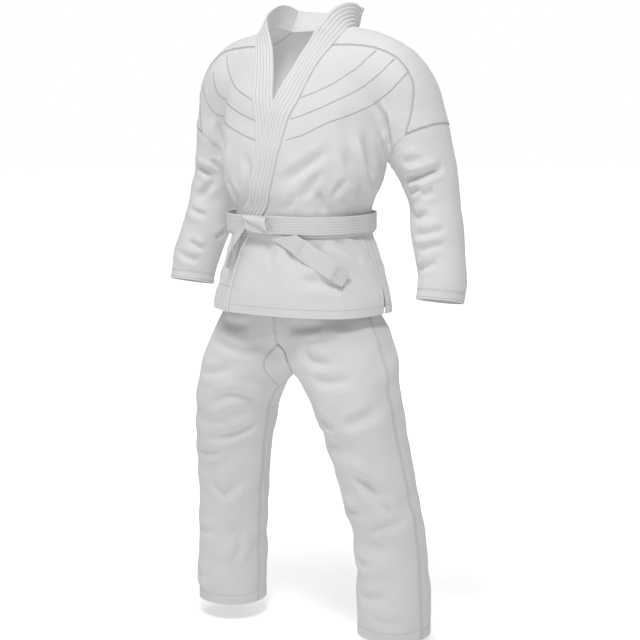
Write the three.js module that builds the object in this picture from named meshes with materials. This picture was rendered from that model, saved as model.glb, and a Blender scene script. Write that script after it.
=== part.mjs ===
import * as THREE from 'three';

// Jiu-jitsu gi as worn, with nobody inside: wrapped jacket, its belt and the trousers, all hollow.
// Millimetres. Z is up, the front faces -Y and the wearer's left is +X. Heights are from the floor.
const ORIGIN_Z = 1046;
const JACKET_WALL = 2.2;
const TROUSER_WALL = 2;
const HEM_EXTRA = 1.4;
const SEAM_GAP = 0.3;
const HEM_Z = 832;
const VENT_TOP_Z = 915;
const VENT_HALF_GAP = 5;
const OVERLAP_LIFT = 10;
const LAPEL_WIDTH = 58;
const LAPEL_OUT = 3.6;
const LAPEL_IN = 1;
const LAPEL_RIBS = 6;
const RIB_DEPTH = 0.9;
const BELT_WIDTH = 43;
const BELT_THICK = 3.2;
const BELT_CLEAR = 0.8;
const WRAP_GAP = 0.5;
const WAISTBAND_TOP_Z = 1044;
const WAISTBAND_HEIGHT = 36;
const WAISTBAND_THICK = 1.5;
const GUSSET_THICK = 1.6;
const TROUSER_HEM_Z = 45;
const UNION_ARM = 34;
const UNION_LEG = 20;

// How many steps each seam has, so that pieces on both sides of it share its points.
const STEPS = { front: 9, side: 12, underArm: 4, cap: 4, biceps: 8, nape: 6, sleeve: 18, leg: 8 };

// Turns rows of numbers into rows with named columns.
function table(columns, rows) {
  const names = columns.split(' ');
  return rows.map((row) => Object.fromEntries(names.map((name, i) => [name, row[i]])));
}

// Sections of the jacket's body, from the hem up to the closing of the neck.
const TORSO = table('z halfWidth front back middleY squareness', [
  [780, 218, 166, 134, 0, 2.6],
  [832, 226, 172, 136, 0, 2.6],
  [930, 205, 156, 131, 0, 2.6],
  [1012, 171, 139, 120, 0, 2.7],
  [1084, 171, 137, 120, 0, 2.7],
  [1130, 195, 147, 131, 0, 2.6],
  [1195, 208, 148, 142, 0, 2.5],
  [1265, 211, 141, 147, 3, 2.5],
  [1330, 211, 131, 148, 8, 2.5],
  [1385, 211, 115, 139, 14, 2.4],
  [1436, 207, 95, 114, 21, 2.3],
  [1463, 200, 83, 98, 25, 2.2],
  [1484, 182, 73, 82, 29, 2.2],
  [1500, 150, 63, 68, 32, 2.1],
  [1513, 108, 56, 56, 35, 2.1],
  [1522, 78, 48, 48, 35, 2.1],
  [1540, 30, 20, 20, 35, 2.1],
]);

// Centre line and radius of the left sleeve, from inside the shoulder to below the cuff.
const ARM = table('x y z radius', [
  [150, 28, 1418, 68],
  [196, 30, 1402, 78],
  [228, 36, 1380, 85],
  [251, 44, 1342, 84],
  [269, 51, 1295, 81],
  [292, 58, 1220, 75],
  [310, 61, 1170, 69],
  [325, 61, 1125, 64],
  [336, 56, 1070, 62],
  [353, 45, 1000, 62],
  [371, 30, 930, 59],
  [374, 18, 872, 57],
  [374, 6, 820, 57],
]);

// Sections of the left trouser leg. The two legs run together above the crotch.
const LEG = table('z middleX halfWidth middleY front back squareness', [
  [0, 251, 85, 22, 86, 90, 2.1],
  [45, 251, 85, 22, 86, 90, 2.1],
  [120, 250, 88, 19, 88, 94, 2.1],
  [200, 247, 86, 18, 88, 92, 2.1],
  [300, 239, 87, 12, 90, 94, 2.1],
  [400, 223, 90, -4, 96, 98, 2.1],
  [510, 203, 96, -22, 104, 104, 2.1],
  [600, 181, 104, -33, 110, 112, 2.1],
  [660, 157, 117, -32, 115, 116, 2.1],
  [705, 132, 135, -27, 117, 121, 2.15],
  [745, 108, 143, -21, 118, 125, 2.2],
  [785, 82, 149, -15, 118, 126, 2.25],
  [820, 62, 148, -12, 117, 122, 2.3],
  [870, 44, 148, -9, 117, 116, 2.4],
  [940, 20, 146, -4, 120, 106, 2.6],
  [990, 0, 155, 0, 125, 108.8, 2.7],
  [1060, 0, 155, 0, 125, 108.8, 2.7],
]);

// Where the seam between the left front and its lapel runs, from the hem to the yoke.
const LAPEL_SEAM = table('z x', [
  [780, -102],
  [832, -100],
  [932, -86],
  [995, -66],
  [1030, -42],
  [1074, -12],
  [1163, 24],
  [1221, 38],
  [1292, 52],
  [1338, 67],
  [1396, 83],
  [1433, 98],
  [1463, 113],
  [1500, 126],
]);

// How far the lapel band stands up off the body along its seam.
const BAND_LEAN = table('z degrees', [
  [832, 0],
  [1330, 0],
  [1400, 4],
  [1463, 16],
  [1490, 32],
  [1512, 48],
]);
const NAPE_LEAN = 74;

// The largest folds: each is a soft valley of a width and depth between two points of the cloth.
const JACKET_FOLDS = table('x1 y1 z1 x2 y2 z2 width depth', [
  [188, -84, 1330, 180, -80, 1150, 22, -6],
  [150, -118, 1250, 160, -80, 1100, 20, -5],
  [40, -146, 1140, 132, -126, 1216, 21, -4],
  [-120, -118, 1086, -150, -98, 1180, 20, -4],
  [-194, -80, 1330, -190, -76, 1200, 22, -5],
  [140, -100, 1000, 205, -40, 900, 23, -5],
  [60, -142, 1000, 96, -150, 880, 22, -3.5],
  [170, 70, 1088, 186, 84, 1200, 22, -5],
  [-172, 60, 1088, -190, 80, 1210, 22, -5],
  [60, 122, 1088, 92, 142, 1210, 24, -5],
  [-40, 124, 1088, -96, 142, 1190, 24, -4.5],
  [120, 110, 1000, 150, 104, 890, 22, -4],
  [-90, 116, 1000, -110, 124, 900, 23, -4],
  [205, 128, 1390, 212, 126, 1250, 22, -5],
  [-203, 128, 1380, -212, 126, 1250, 22, -5],
  [262, 30, 1150, 392, 30, 1184, 20, -8],
  [272, 20, 1086, 345, -6, 1050, 20, -6],
  [322, 12, 930, 352, -26, 948, 18, -4],
  [300, 110, 1150, 372, 116, 1106, 22, -6],
  [330, 108, 1050, 392, 96, 1080, 20, -5],
  [-262, 30, 1158, -384, 20, 1150, 20, -7],
  [-290, 0, 1080, -350, -8, 1110, 20, -6],
  [-330, -18, 1000, -400, -4, 1040, 20, -5],
  [-296, 112, 1166, -366, 118, 1120, 22, -6],
  [-330, 106, 1030, -394, 92, 1060, 20, -5],
]);
const TROUSER_FOLDS = table('x1 y1 z1 x2 y2 z2 width depth', [
  [30, -108, 745, 120, -146, 765, 22, -5],
  [-28, -104, 742, -116, -146, 775, 21, -5],
  [130, -140, 540, 262, -92, 505, 24, -6],
  [150, -106, 420, 280, -72, 450, 23, -5],
  [200, -70, 300, 290, -50, 270, 22, -4],
  [-130, -128, 530, -262, -96, 560, 24, -6],
  [-150, -100, 440, -280, -80, 420, 23, -5],
  [-190, -80, 320, -290, -60, 350, 22, -4],
  [120, 100, 690, 190, 92, 600, 26, -8],
  [-120, 100, 690, -190, 92, 596, 26, -8],
  [140, 84, 550, 250, 80, 520, 24, -6],
  [-140, 84, 556, -250, 80, 516, 24, -6],
  [170, 96, 420, 280, 90, 450, 24, -5],
  [-170, 96, 436, -280, 90, 400, 23, -5],
  [40, 112, 790, 130, 120, 800, 24, -5],
  [-40, 112, 780, -130, 120, 800, 24, -5],
]);

// Points that the arm seams and the yoke run through, on the left side.
const UNDER_ARM_FRONT = [[240, 18, 1196], [250, -8, 1212], [274, -20, 1235], [299, -22, 1256]];
const UNDER_ARM_BACK = [[240, 76, 1196], [250, 104, 1212], [274, 126, 1235], [299, 134, 1256]];
const CAP_FRONT = [[299, -22, 1256], [312, -18, 1313], [312, -10, 1363], [299, -11, 1402]];
const CAP_BACK = [[299, 134, 1256], [312, 126, 1313], [312, 110, 1363], [299, 88, 1402]];
const BICEPS = [
  [299, -22, 1256],
  [330, -4, 1270],
  [353, 25, 1280],
  [361, 55, 1283],
  [353, 86, 1280],
  [330, 114, 1270],
  [299, 134, 1256],
];
const YOKE_FRONT = [[178, -37, 1462], [221, -26, 1453], [268, -17, 1434], [299, -11, 1402]];
const YOKE_BACK = [[98, 84, 1506], [160, 98, 1482], [215, 100, 1458], [265, 96, 1432], [299, 88, 1402]];
const NECK_SIDE = [[126, -26, 1490], [120, 24, 1510], [98, 84, 1506]];

// Vectors are plain lists of three numbers.
const add = (a, b) => [a[0] + b[0], a[1] + b[1], a[2] + b[2]];
const sub = (a, b) => [a[0] - b[0], a[1] - b[1], a[2] - b[2]];
const scale = (a, k) => [a[0] * k, a[1] * k, a[2] * k];
const along = (a, d, k) => [a[0] + d[0] * k, a[1] + d[1] * k, a[2] + d[2] * k];
const dot = (a, b) => a[0] * b[0] + a[1] * b[1] + a[2] * b[2];
const cross = (a, b) => [a[1] * b[2] - a[2] * b[1], a[2] * b[0] - a[0] * b[2], a[0] * b[1] - a[1] * b[0]];
const size = (a) => Math.sqrt(dot(a, a));
const unit = (a) => scale(a, 1 / size(a));
const mix = (a, b, t) => a.map((value, i) => value + (b[i] - value) * t);
const mirror = (p) => [-p[0], p[1], p[2]];
const clamp = (v, low, high) => Math.min(high, Math.max(low, v));
const radians = (degrees) => (degrees * Math.PI) / 180;
function smooth(low, high, v) {
  const t = clamp((v - low) / (high - low), 0, 1);
  return t * t * (3 - 2 * t);
}

// Reads a table between its rows as smooth curves of its first column.
function curvesOf(rows) {
  const names = Object.keys(rows[0]);
  const keys = rows.map((row) => row[names[0]]);
  const values = rows.map((row) => names.slice(1).map((name) => row[name]));
  const rise = keys.slice(1).map((key, i) => (
    values[i].map((v, k) => (values[i + 1][k] - v) / (key - keys[i]))
  ));
  const slopes = values.map((row, i) => {
    if (i === 0) return rise[0];
    if (i === keys.length - 1) return rise[i - 1];
    const before = keys[i] - keys[i - 1];
    const after = keys[i + 1] - keys[i];
    return row.map((_, k) => (rise[i - 1][k] * after + rise[i][k] * before) / (before + after));
  });
  return (key) => {
    const q = clamp(key, keys[0], keys[keys.length - 1] - 1e-6);
    let i = 0;
    while (keys[i + 1] <= q) i += 1;
    const h = keys[i + 1] - keys[i];
    const t = (q - keys[i]) / h;
    const a = 2 * t ** 3 - 3 * t ** 2 + 1;
    const b = t ** 3 - 2 * t ** 2 + t;
    const c = 3 * t ** 2 - 2 * t ** 3;
    const d = t ** 3 - t ** 2;
    const [from, to] = [i, i + 1];
    return values[from].map((v, k) => (
      a * v + b * h * slopes[from][k] + c * values[to][k] + d * h * slopes[to][k]
    ));
  };
}
const torsoAt = curvesOf(TORSO);
const legAt = curvesOf(LEG);
const lapelSeamAt = curvesOf(LAPEL_SEAM);
const leanAt = curvesOf(BAND_LEAN);

// A smooth line through points, cut into equal steps.
function spline(points, steps) {
  const dense = [];
  for (let i = 0; i < points.length - 1; i += 1) {
    const b = points[i];
    const c = points[i + 1];
    const a = i > 0 ? points[i - 1] : b.map((v, k) => 2 * v - c[k]);
    const d = i + 2 < points.length ? points[i + 2] : c.map((v, k) => 2 * v - b[k]);
    for (let j = 0; j < 24; j += 1) {
      const t = j / 24;
      dense.push(b.map((v, k) => 0.5 * (2 * v + (c[k] - a[k]) * t
        + (2 * a[k] - 5 * v + 4 * c[k] - d[k]) * t * t
        + (3 * v - a[k] - 3 * c[k] + d[k]) * t ** 3)));
    }
  }
  dense.push(points[points.length - 1]);
  const run = [0];
  for (let i = 1; i < dense.length; i += 1) run.push(run[i - 1] + size(sub(dense[i], dense[i - 1])));
  const total = run[run.length - 1];
  const out = [];
  let i = 0;
  for (let s = 0; s <= steps; s += 1) {
    const at = (total * s) / steps;
    while (i < dense.length - 2 && run[i + 1] < at) i += 1;
    const t = clamp((at - run[i]) / (run[i + 1] - run[i]), 0, 1);
    out.push(mix(dense[i], dense[i + 1], t));
  }
  return out;
}

// The body form is where these fields are zero. They are negative inside.
const armLine = (() => {
  const points = ARM.map((row) => [row.x, row.y, row.z, row.radius]);
  return spline(points, 40);
})();
function sectionField(across, depth, halfWidth, front, back, power) {
  const half = depth < 0 ? front : back;
  const ratio = ((Math.abs(across) / halfWidth) ** power + (Math.abs(depth) / half) ** power) ** (1 / power);
  return (ratio - 1) * Math.min(halfWidth, half);
}
function torsoField(p) {
  const [halfWidth, front, back, middleY, squareness] = torsoAt(p[2]);
  return sectionField(p[0], p[1] - middleY, halfWidth, front, back, squareness);
}
function armField(p, side) {
  const q = [p[0] * side, p[1], p[2]];
  let best = 1e9;
  for (let i = 0; i < armLine.length - 1; i += 1) {
    const a = armLine[i];
    const b = armLine[i + 1];
    const step = sub(b, a);
    const t = clamp(dot(sub(q, a), step) / dot(step, step), 0, 1);
    best = Math.min(best, size(sub(q, along(a, step, t))) - a[3] - (b[3] - a[3]) * t);
  }
  return best;
}
function union(a, b, blend) {
  const h = clamp(0.5 + (0.5 * (b - a)) / blend, 0, 1);
  return b * (1 - h) + a * h - blend * h * (1 - h);
}
function jacketField(p) {
  return union(torsoField(p), armField(p, p[0] < 0 ? -1 : 1), UNION_ARM);
}
function legField(p, side) {
  const [middleX, halfWidth, middleY, front, back, squareness] = legAt(p[2]);
  return sectionField(p[0] * side - middleX, p[1] - middleY, halfWidth, front, back, squareness);
}
function trouserField(p) {
  return union(legField(p, 1), legField(p, -1), UNION_LEG);
}
function normalOf(field, p) {
  const e = 0.6;
  return unit([
    field([p[0] + e, p[1], p[2]]) - field([p[0] - e, p[1], p[2]]),
    field([p[0], p[1] + e, p[2]]) - field([p[0], p[1] - e, p[2]]),
    field([p[0], p[1], p[2] + e]) - field([p[0], p[1], p[2] - e]),
  ]);
}

// Moves a point along a direction onto the body form.
function cast(field, start, direction) {
  let p = start;
  for (let k = 0; k < 30; k += 1) {
    const value = field(p);
    if (Math.abs(value) < 0.002) break;
    const slope = (field(along(p, direction, 0.5)) - value) / 0.5;
    p = along(p, direction, -clamp(value / Math.max(slope, 0.35), -14, 14));
  }
  return p;
}
function onForm(field, start) {
  let p = start;
  for (let k = 0; k < 8; k += 1) p = cast(field, p, normalOf(field, p));
  return p;
}

// Leaves the form from an inner point and stops at its first face.
function leave(field, start, direction) {
  let t = 0;
  while (field(along(start, direction, t)) < 0) t += 3;
  let low = t - 3;
  for (let k = 0; k < 20; k += 1) {
    const middle = (low + t) / 2;
    if (field(along(start, direction, middle)) < 0) low = middle;
    else t = middle;
  }
  return along(start, direction, t);
}
const frontPoint = (x, z) => leave(jacketField, [x, torsoAt(z)[3], z], [0, -1, 0]);

// Four seams bound each patch. Points between them are laid on the body form.
function patch(field, left, right, bottom, top) {
  const rows = left.length - 1;
  const columns = bottom.length - 1;
  const normal = (p) => normalOf(field, p);
  const sides = [left, right, bottom, top].map((line) => line.map(normal));
  const points = [];
  for (let j = 0; j <= rows; j += 1) {
    const v = j / rows;
    const row = [];
    for (let i = 0; i <= columns; i += 1) {
      const u = i / columns;
      if (i === 0) row.push(left[j]);
      else if (i === columns) row.push(right[j]);
      else if (j === 0) row.push(bottom[i]);
      else if (j === rows) row.push(top[i]);
      else {
        const ruled = add(mix(left[j], right[j], u), mix(bottom[i], top[i], v));
        const corners = mix(mix(bottom[0], bottom[columns], u), mix(top[0], top[columns], u), v);
        const lean = add(mix(sides[0][j], sides[1][j], u), mix(sides[2][i], sides[3][i], v));
        row.push(cast(field, sub(ruled, corners), unit(lean)));
      }
    }
    points.push(row);
  }
  return eased(field, points, 14);
}

// Evens the spacing of a patch's inner points and keeps them on the form.
function eased(field, grid, rounds) {
  let points = grid;
  for (let n = 0; n < rounds; n += 1) {
    points = points.map((row, j) => row.map((p, i) => {
      if (j === 0 || i === 0 || j === points.length - 1 || i === row.length - 1) return p;
      const sum = add(add(row[i - 1], row[i + 1]), add(points[j - 1][i], points[j + 1][i]));
      const moved = scale(sum, 0.25);
      return cast(field, moved, normalOf(field, moved));
    }));
  }
  return points;
}

// Folds as soft valleys along lines on the form.
function foldLines(rows, field) {
  return rows.map((fold) => ({
    line: spline([[fold.x1, fold.y1, fold.z1], [fold.x2, fold.y2, fold.z2]], 6).map((p) => onForm(field, p)),
    width: fold.width,
    depth: fold.depth,
  }));
}
function foldHeight(folds, p) {
  let height = 0;
  for (const fold of folds) {
    let best = 1e9;
    let place = 0;
    for (let i = 0; i < fold.line.length - 1; i += 1) {
      const step = sub(fold.line[i + 1], fold.line[i]);
      const t = clamp(dot(sub(p, fold.line[i]), step) / dot(step, step), 0, 1);
      const far = size(sub(p, along(fold.line[i], step, t)));
      if (far < best) {
        best = far;
        place = (i + t) / (fold.line.length - 1);
      }
    }
    if (best < fold.width * 3) {
      const fade = 0.35 + 0.65 * smooth(0, 0.3, place) * smooth(0, 0.3, 1 - place);
      height += fold.depth * fade * Math.exp(-((best / fold.width) ** 2));
    }
  }
  return height;
}
const jacketFolds = foldLines(JACKET_FOLDS, jacketField);
const trouserFolds = foldLines(TROUSER_FOLDS, trouserField);

// How far the upper front stands off the body where the under front lies beneath it.
function overlapLift(p) {
  if (p[1] > torsoAt(p[2])[3]) return 0;
  const underEdge = -lapelSeamAt(p[2])[0] + LAPEL_WIDTH;
  const sideways = 1 - smooth(underEdge + 24, underEdge + 78, p[0]);
  return OVERLAP_LIFT * sideways * (1 - smooth(1345, 1425, p[2]));
}

// Each cell of a grid is cut along the diagonal that lies nearer the form, or the shorter one.
function cutOf(field, [p, q, r, s]) {
  const first = Math.abs(field(mix(p, r, 0.5)));
  const second = Math.abs(field(mix(q, s, 0.5)));
  if (Math.abs(first - second) > 0.05) return first > second ? 1 : 0;
  return size(sub(p, r)) > size(sub(q, s)) ? 1 : 0;
}
function cutsOf(grid, field) {
  const columns = grid[0].length;
  return grid.slice(1).map((above, j) => above.map((p, i) => {
    const next = (i + 1) % columns;
    return cutOf(field, [grid[j][i], grid[j][next], above[next], p]);
  }));
}

// A closed solid from an outer and an inner grid of points, wrapped round where it is a tube.
function solid(outer, inner, wrapped, cuts) {
  const rows = outer.length;
  const columns = outer[0].length;
  const count = rows * columns;
  const positions = [...outer.flat(), ...inner.flat()];
  const faces = [];
  const at = (layer, j, i) => layer * count + j * columns + (i % columns);
  const quad = (a, b, c, d) => faces.push([a, b, c], [a, c, d]);
  const last = wrapped ? columns : columns - 1;
  for (let j = 0; j < rows - 1; j += 1) {
    for (let i = 0; i < last; i += 1) {
      const corners = [[j, i], [j, i + 1], [j + 1, i + 1], [j + 1, i]];
      const turn = cuts[j][i];
      for (const layer of [0, 1]) {
        const [a, b, c, d] = [0, 1, 2, 3].map((k) => at(layer, ...corners[(k + turn) % 4]));
        if (layer === 0) quad(a, b, c, d);
        else quad(a, d, c, b);
      }
    }
  }
  for (let i = 0; i < last; i += 1) {
    quad(at(1, 0, i), at(1, 0, i + 1), at(0, 0, i + 1), at(0, 0, i));
    quad(at(0, rows - 1, i), at(0, rows - 1, i + 1), at(1, rows - 1, i + 1), at(1, rows - 1, i));
  }
  if (!wrapped) {
    for (let j = 0; j < rows - 1; j += 1) {
      quad(at(0, j, 0), at(0, j + 1, 0), at(1, j + 1, 0), at(1, j, 0));
      quad(at(1, j, last), at(1, j + 1, last), at(0, j + 1, last), at(0, j, last));
    }
  }
  return geometryOf(positions, faces);
}

// Faces are turned so that the solid faces out.
function geometryOf(positions, faces) {
  let volume = 0;
  for (const [a, b, c] of faces) volume += dot(positions[a], cross(positions[b], positions[c]));
  const index = faces.flatMap(([a, b, c]) => (volume > 0 ? [a, b, c] : [a, c, b]));
  const geometry = new THREE.BufferGeometry();
  geometry.setAttribute('position', new THREE.Float32BufferAttribute(positions.flat(), 3));
  geometry.setIndex(index);
  geometry.computeVertexNormals();
  return geometry;
}

const group = new THREE.Group();
group.name = 'jiu_jitsu_gi';
group.position.z = -ORIGIN_Z;
const CLOTH = { color: 0xe9e9e6, roughness: 0.92, metalness: 0 };
const BELT_CLOTH = { color: 0xe4e4e1, roughness: 0.85, metalness: 0 };
const BAR_CLOTH = { color: 0xdededb, roughness: 0.8, metalness: 0 };
function addMesh(name, geometry, look = CLOTH) {
  const mesh = new THREE.Mesh(geometry, new THREE.MeshStandardMaterial(look));
  mesh.name = name;
  group.add(mesh);
}

// Draws a seam's edge points back from the piece beside it.
function pulled(grid, edges, gap) {
  const out = grid.map((row) => row.map((p) => [...p]));
  const rows = grid.length - 1;
  const columns = grid[0].length - 1;
  const draw = (j, i, jn, inn) => {
    const step = unit(sub(grid[jn][inn], grid[j][i]));
    out[j][i] = along(out[j][i], step, gap);
  };
  for (let j = 0; j <= rows; j += 1) {
    if (edges.includes('left')) draw(j, 0, j, 1);
    if (edges.includes('right')) draw(j, columns, j, columns - 1);
  }
  for (let i = 0; i <= columns; i += 1) {
    if (edges.includes('bottom')) draw(0, i, 1, i);
    if (edges.includes('top')) draw(rows, i, rows - 1, i);
  }
  return out;
}

// Cloth of one thickness on a grid of form points, as a solid.
function cloth(grid, field, folds, options) {
  const { edges = [], wrapped = false, wall, lift = () => 0, hemRows = [] } = options;
  const base = pulled(grid, edges, wrapped ? SEAM_GAP : SEAM_GAP / 2);
  const outer = [];
  const inner = [];
  base.forEach((row, j) => {
    const thick = wall + (hemRows.includes(j) ? HEM_EXTRA : 0);
    const normals = row.map((p) => normalOf(field, p));
    const raised = row.map((p, i) => along(p, normals[i], lift(grid[j][i]) + foldHeight(folds, grid[j][i])));
    outer.push(raised);
    inner.push(raised.map((p, i) => along(p, normals[i], -thick)));
  });
  return solid(outer, inner, wrapped, cutsOf(grid, field));
}
const mirrored = (grid) => grid.map((row) => row.map(mirror));
const turned = (line) => [...line].reverse();
const laid = (line) => line.map((p) => onForm(jacketField, p));

// The armpit is where the gap between body and sleeve closes.
const armpit = (() => {
  for (let z = 1290; z > 1100; z -= 1) {
    for (let x = 205; x < 290; x += 2) {
      if (jacketField([x, 46, z]) > 0) return onForm(jacketField, [x, 46, z]);
    }
  }
  return [240, 46, 1190];
})();

// Seams of the jacket's left side.
const SIDE_ROWS = [832, 866, 900, 932, 966, 996, 1018, 1078, 1104, 1130, 1156, 1180];
const sideSeam = SIDE_ROWS.map((z) => leave(jacketField, [120, 10 + (36 * (z - HEM_Z)) / 360, z], [1, 0, 0]));
sideSeam.push(armpit);
const underArmFront = laid(spline([armpit, ...UNDER_ARM_FRONT], STEPS.underArm));
const underArmBack = laid(spline([armpit, ...UNDER_ARM_BACK], STEPS.underArm));
const capFront = laid(spline(CAP_FRONT, STEPS.cap));
const capBack = laid(spline(CAP_BACK, STEPS.cap));
const biceps = laid(spline(BICEPS, STEPS.biceps));
const LAPEL_ROWS = [...SIDE_ROWS, 1212, 1234, 1256, 1278, 1302, 1340, 1382, 1424, 1463];
const lapelSeam = LAPEL_ROWS.map((z) => frontPoint(lapelSeamAt(z)[0], z));
const yokeCorner = lapelSeam[lapelSeam.length - 1];
const yokeFront = laid(spline([yokeCorner, ...YOKE_FRONT], STEPS.front));
const yokeBack = laid(spline(YOKE_BACK, STEPS.front));
const neckSide = laid(spline([yokeCorner, ...NECK_SIDE], STEPS.biceps));
const NAPE = [yokeBack[0], [54, 96, 1508], [0, 100, 1507], [-54, 96, 1508], mirror(yokeBack[0])];
const nape = laid(spline(NAPE, STEPS.nape));

// The hem ring runs by angle between two of its points.
function hemLine(from, to, steps, back) {
  const angle = (p) => Math.atan2(p[0], back ? p[1] : -p[1]);
  const out = [from];
  for (let i = 1; i < steps; i += 1) {
    const a = angle(from) + ((angle(to) - angle(from)) * i) / steps;
    out.push(leave(jacketField, [0, 0, HEM_Z], [Math.sin(a), (back ? 1 : -1) * Math.cos(a), 0]));
  }
  out.push(to);
  return out;
}

// Below the top of the vents the side edges of front and back part.
function parted(line, toward) {
  return line.map((p) => {
    const gap = VENT_HALF_GAP * smooth(VENT_TOP_Z, HEM_Z, p[2]);
    return gap > 0 ? onForm(jacketField, along(p, [0, toward, 0], gap)) : p;
  });
}

const frontLeft = patch(
  jacketField,
  lapelSeam,
  [...parted(sideSeam, -1), ...underArmFront.slice(1), ...capFront.slice(1)],
  hemLine(lapelSeam[0], parted(sideSeam, -1)[0], STEPS.front, false),
  yokeFront,
);
const edgesAll = ['left', 'right', 'top'];
const jacketOptions = { edges: edgesAll, wall: JACKET_WALL, hemRows: [0] };
const overFront = cloth(frontLeft, jacketField, jacketFolds, { ...jacketOptions, lift: overlapLift });
addMesh('jacket_front_left', overFront);
addMesh('jacket_front_right', cloth(mirrored(frontLeft), jacketField, jacketFolds, jacketOptions));

const backSide = [...parted(sideSeam, 1), ...underArmBack.slice(1), ...capBack.slice(1)];
const backTop = [...turned(yokeBack).map(mirror), ...turned(nape).slice(1), ...yokeBack.slice(1)];
const backGrid = patch(
  jacketField,
  backSide.map(mirror),
  backSide,
  hemLine(mirror(backSide[0]), backSide[0], STEPS.front * 2 + STEPS.nape, true),
  backTop,
);
addMesh('jacket_back', cloth(backGrid, jacketField, jacketFolds, jacketOptions));

// The shoulder panel runs from the neck over the shoulder to the seam on the upper arm.
const panelFront = [...yokeFront, ...turned(capFront).slice(1)];
const panelBack = [...yokeBack, ...turned(capBack).slice(1)];
const panelGrid = patch(jacketField, panelFront, panelBack, neckSide, biceps);

// The sleeve is a tube from its seam loop round the arm line to the cuff.
const sleeveTop = [...underArmFront.slice(0, -1), ...biceps.slice(0, -1), ...turned(underArmBack).slice(0, -1)];
function armFrame(place) {
  const i = Math.min(Math.floor(place), armLine.length - 2);
  const t = place - i;
  const centre = mix(armLine[i], armLine[i + 1], t).slice(0, 3);
  const before = armLine[Math.max(i - 1, 0)];
  const after = armLine[Math.min(i + 2, armLine.length - 1)];
  const down = unit(sub(after, before));
  const front = unit(along([0, -1, 0], down, down[1]));
  return { centre, down, front, inward: cross(down, front) };
}
function armPlace(p) {
  let best = 1e9;
  let place = 0;
  for (let k = 0; k <= (armLine.length - 1) * 10; k += 1) {
    const far = Math.abs(dot(sub(p, armFrame(k / 10).centre), armFrame(k / 10).down));
    const near = size(sub(p, armFrame(k / 10).centre));
    if (near < 130 && far < best) {
      best = far;
      place = k / 10;
    }
  }
  const frame = armFrame(place);
  const out = sub(p, frame.centre);
  return { place, angle: Math.atan2(dot(out, frame.front), dot(out, frame.inward)) };
}
const cuffPlace = armPlace([374, 18, 872]).place;
const sleeveGrid = (() => {
  const starts = sleeveTop.map(armPlace);
  const count = starts.length;
  const angles = starts.map(({ angle }) => (angle < -0.2 ? angle + Math.PI * 2 : angle));
  const rows = [sleeveTop];
  for (let j = 1; j <= STEPS.sleeve; j += 1) {
    const s = j / STEPS.sleeve;
    rows.push(starts.map(({ place }, i) => {
      const even = (Math.PI * 2 * i) / count;
      const angle = angles[i] + (even - angles[i]) * smooth(0, 0.8, s);
      const frame = armFrame(place + (cuffPlace - place) * s);
      const out = add(scale(frame.inward, Math.cos(angle)), scale(frame.front, Math.sin(angle)));
      return leave(jacketField, frame.centre, out);
    }));
  }
  return rows;
})();
function addArmPieces(side, sleevePoints, panelPoints) {
  const sleeve = cloth(sleevePoints, jacketField, jacketFolds, {
    wrapped: true,
    edges: ['bottom'],
    wall: JACKET_WALL,
    hemRows: [STEPS.sleeve],
  });
  addMesh(`sleeve_${side}`, sleeve);
  const panel = cloth(panelPoints, jacketField, jacketFolds, {
    edges: ['left', 'right', 'bottom'],
    wall: JACKET_WALL,
  });
  addMesh(`shoulder_panel_${side}`, panel);
}
addArmPieces('left', sleeveGrid, panelGrid);
addArmPieces('right', mirrored(sleeveGrid), mirrored(panelGrid));

// The collar is one long ribbed band: up one lapel, round the neck and down the other lapel.
const bandStations = (() => {
  const left = [...lapelSeam, ...neckSide.slice(1)];
  const line = [...left, ...nape.slice(1), ...turned(left.slice(0, -1)).map(mirror)];
  const half = (line.length - 1) / 2;
  return line.map((p, k) => {
    const before = line[Math.max(k - 1, 0)];
    const after = line[Math.min(k + 1, line.length - 1)];
    const onNeck = k > lapelSeam.length - 1 && k < line.length - lapelSeam.length;
    const toNape = smooth(lapelSeam.length + 3, half - 2, k <= half ? k : 2 * half - k);
    const lean = leanAt(p[2])[0] + (onNeck ? (NAPE_LEAN - leanAt(p[2])[0]) * toNape : 0);
    const normal = normalOf(jacketField, p);
    const tangent = unit(sub(after, before));
    const across = unit(cross(normal, tangent));
    const lift = k < half ? overlapLift(p) : 0;
    return { p, normal, across, lean, lift };
  });
})();
const ribProfile = (t) => 0.5 - 0.5 * Math.cos(t * LAPEL_RIBS * 2 * Math.PI);
function bandPoint(station, t) {
  const lean = radians(station.lean);
  const direction = add(scale(station.across, Math.cos(lean)), scale(station.normal, Math.sin(lean)));
  const facing = sub(scale(station.normal, Math.cos(lean)), scale(station.across, Math.sin(lean)));
  const straight = along(station.p, direction, SEAM_GAP + LAPEL_WIDTH * t);
  const follow = 1 - smooth(0, 18, station.lean);
  if (follow === 0) return { base: straight, facing, lift: station.lift };
  const laidDown = onForm(jacketField, straight);
  const base = mix(straight, laidDown, follow);
  return {
    base,
    facing: unit(mix(facing, normalOf(jacketField, laidDown), follow)),
    lift: station.lift > 0 ? Math.max(station.lift, overlapLift(base)) : 0,
  };
}
const collar = (() => {
  const rings = bandStations.map((station) => {
    const ring = [];
    const outerSteps = LAPEL_RIBS * 2;
    for (let i = 0; i <= outerSteps; i += 1) {
      const { base, facing, lift } = bandPoint(station, i / outerSteps);
      const high = LAPEL_OUT - RIB_DEPTH * (1 - ribProfile(i / outerSteps));
      const fold = station.lean > 20 ? 0 : foldHeight(jacketFolds, base);
      ring.push(along(base, facing, high + lift + fold));
    }
    for (const t of [1, 0.66, 0.33, 0]) {
      const { base, facing, lift } = bandPoint(station, t);
      const fold = station.lean > 20 ? 0 : foldHeight(jacketFolds, base);
      ring.push(along(base, facing, lift + fold - LAPEL_IN));
    }
    return ring;
  });
  return rings;
})();

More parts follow.
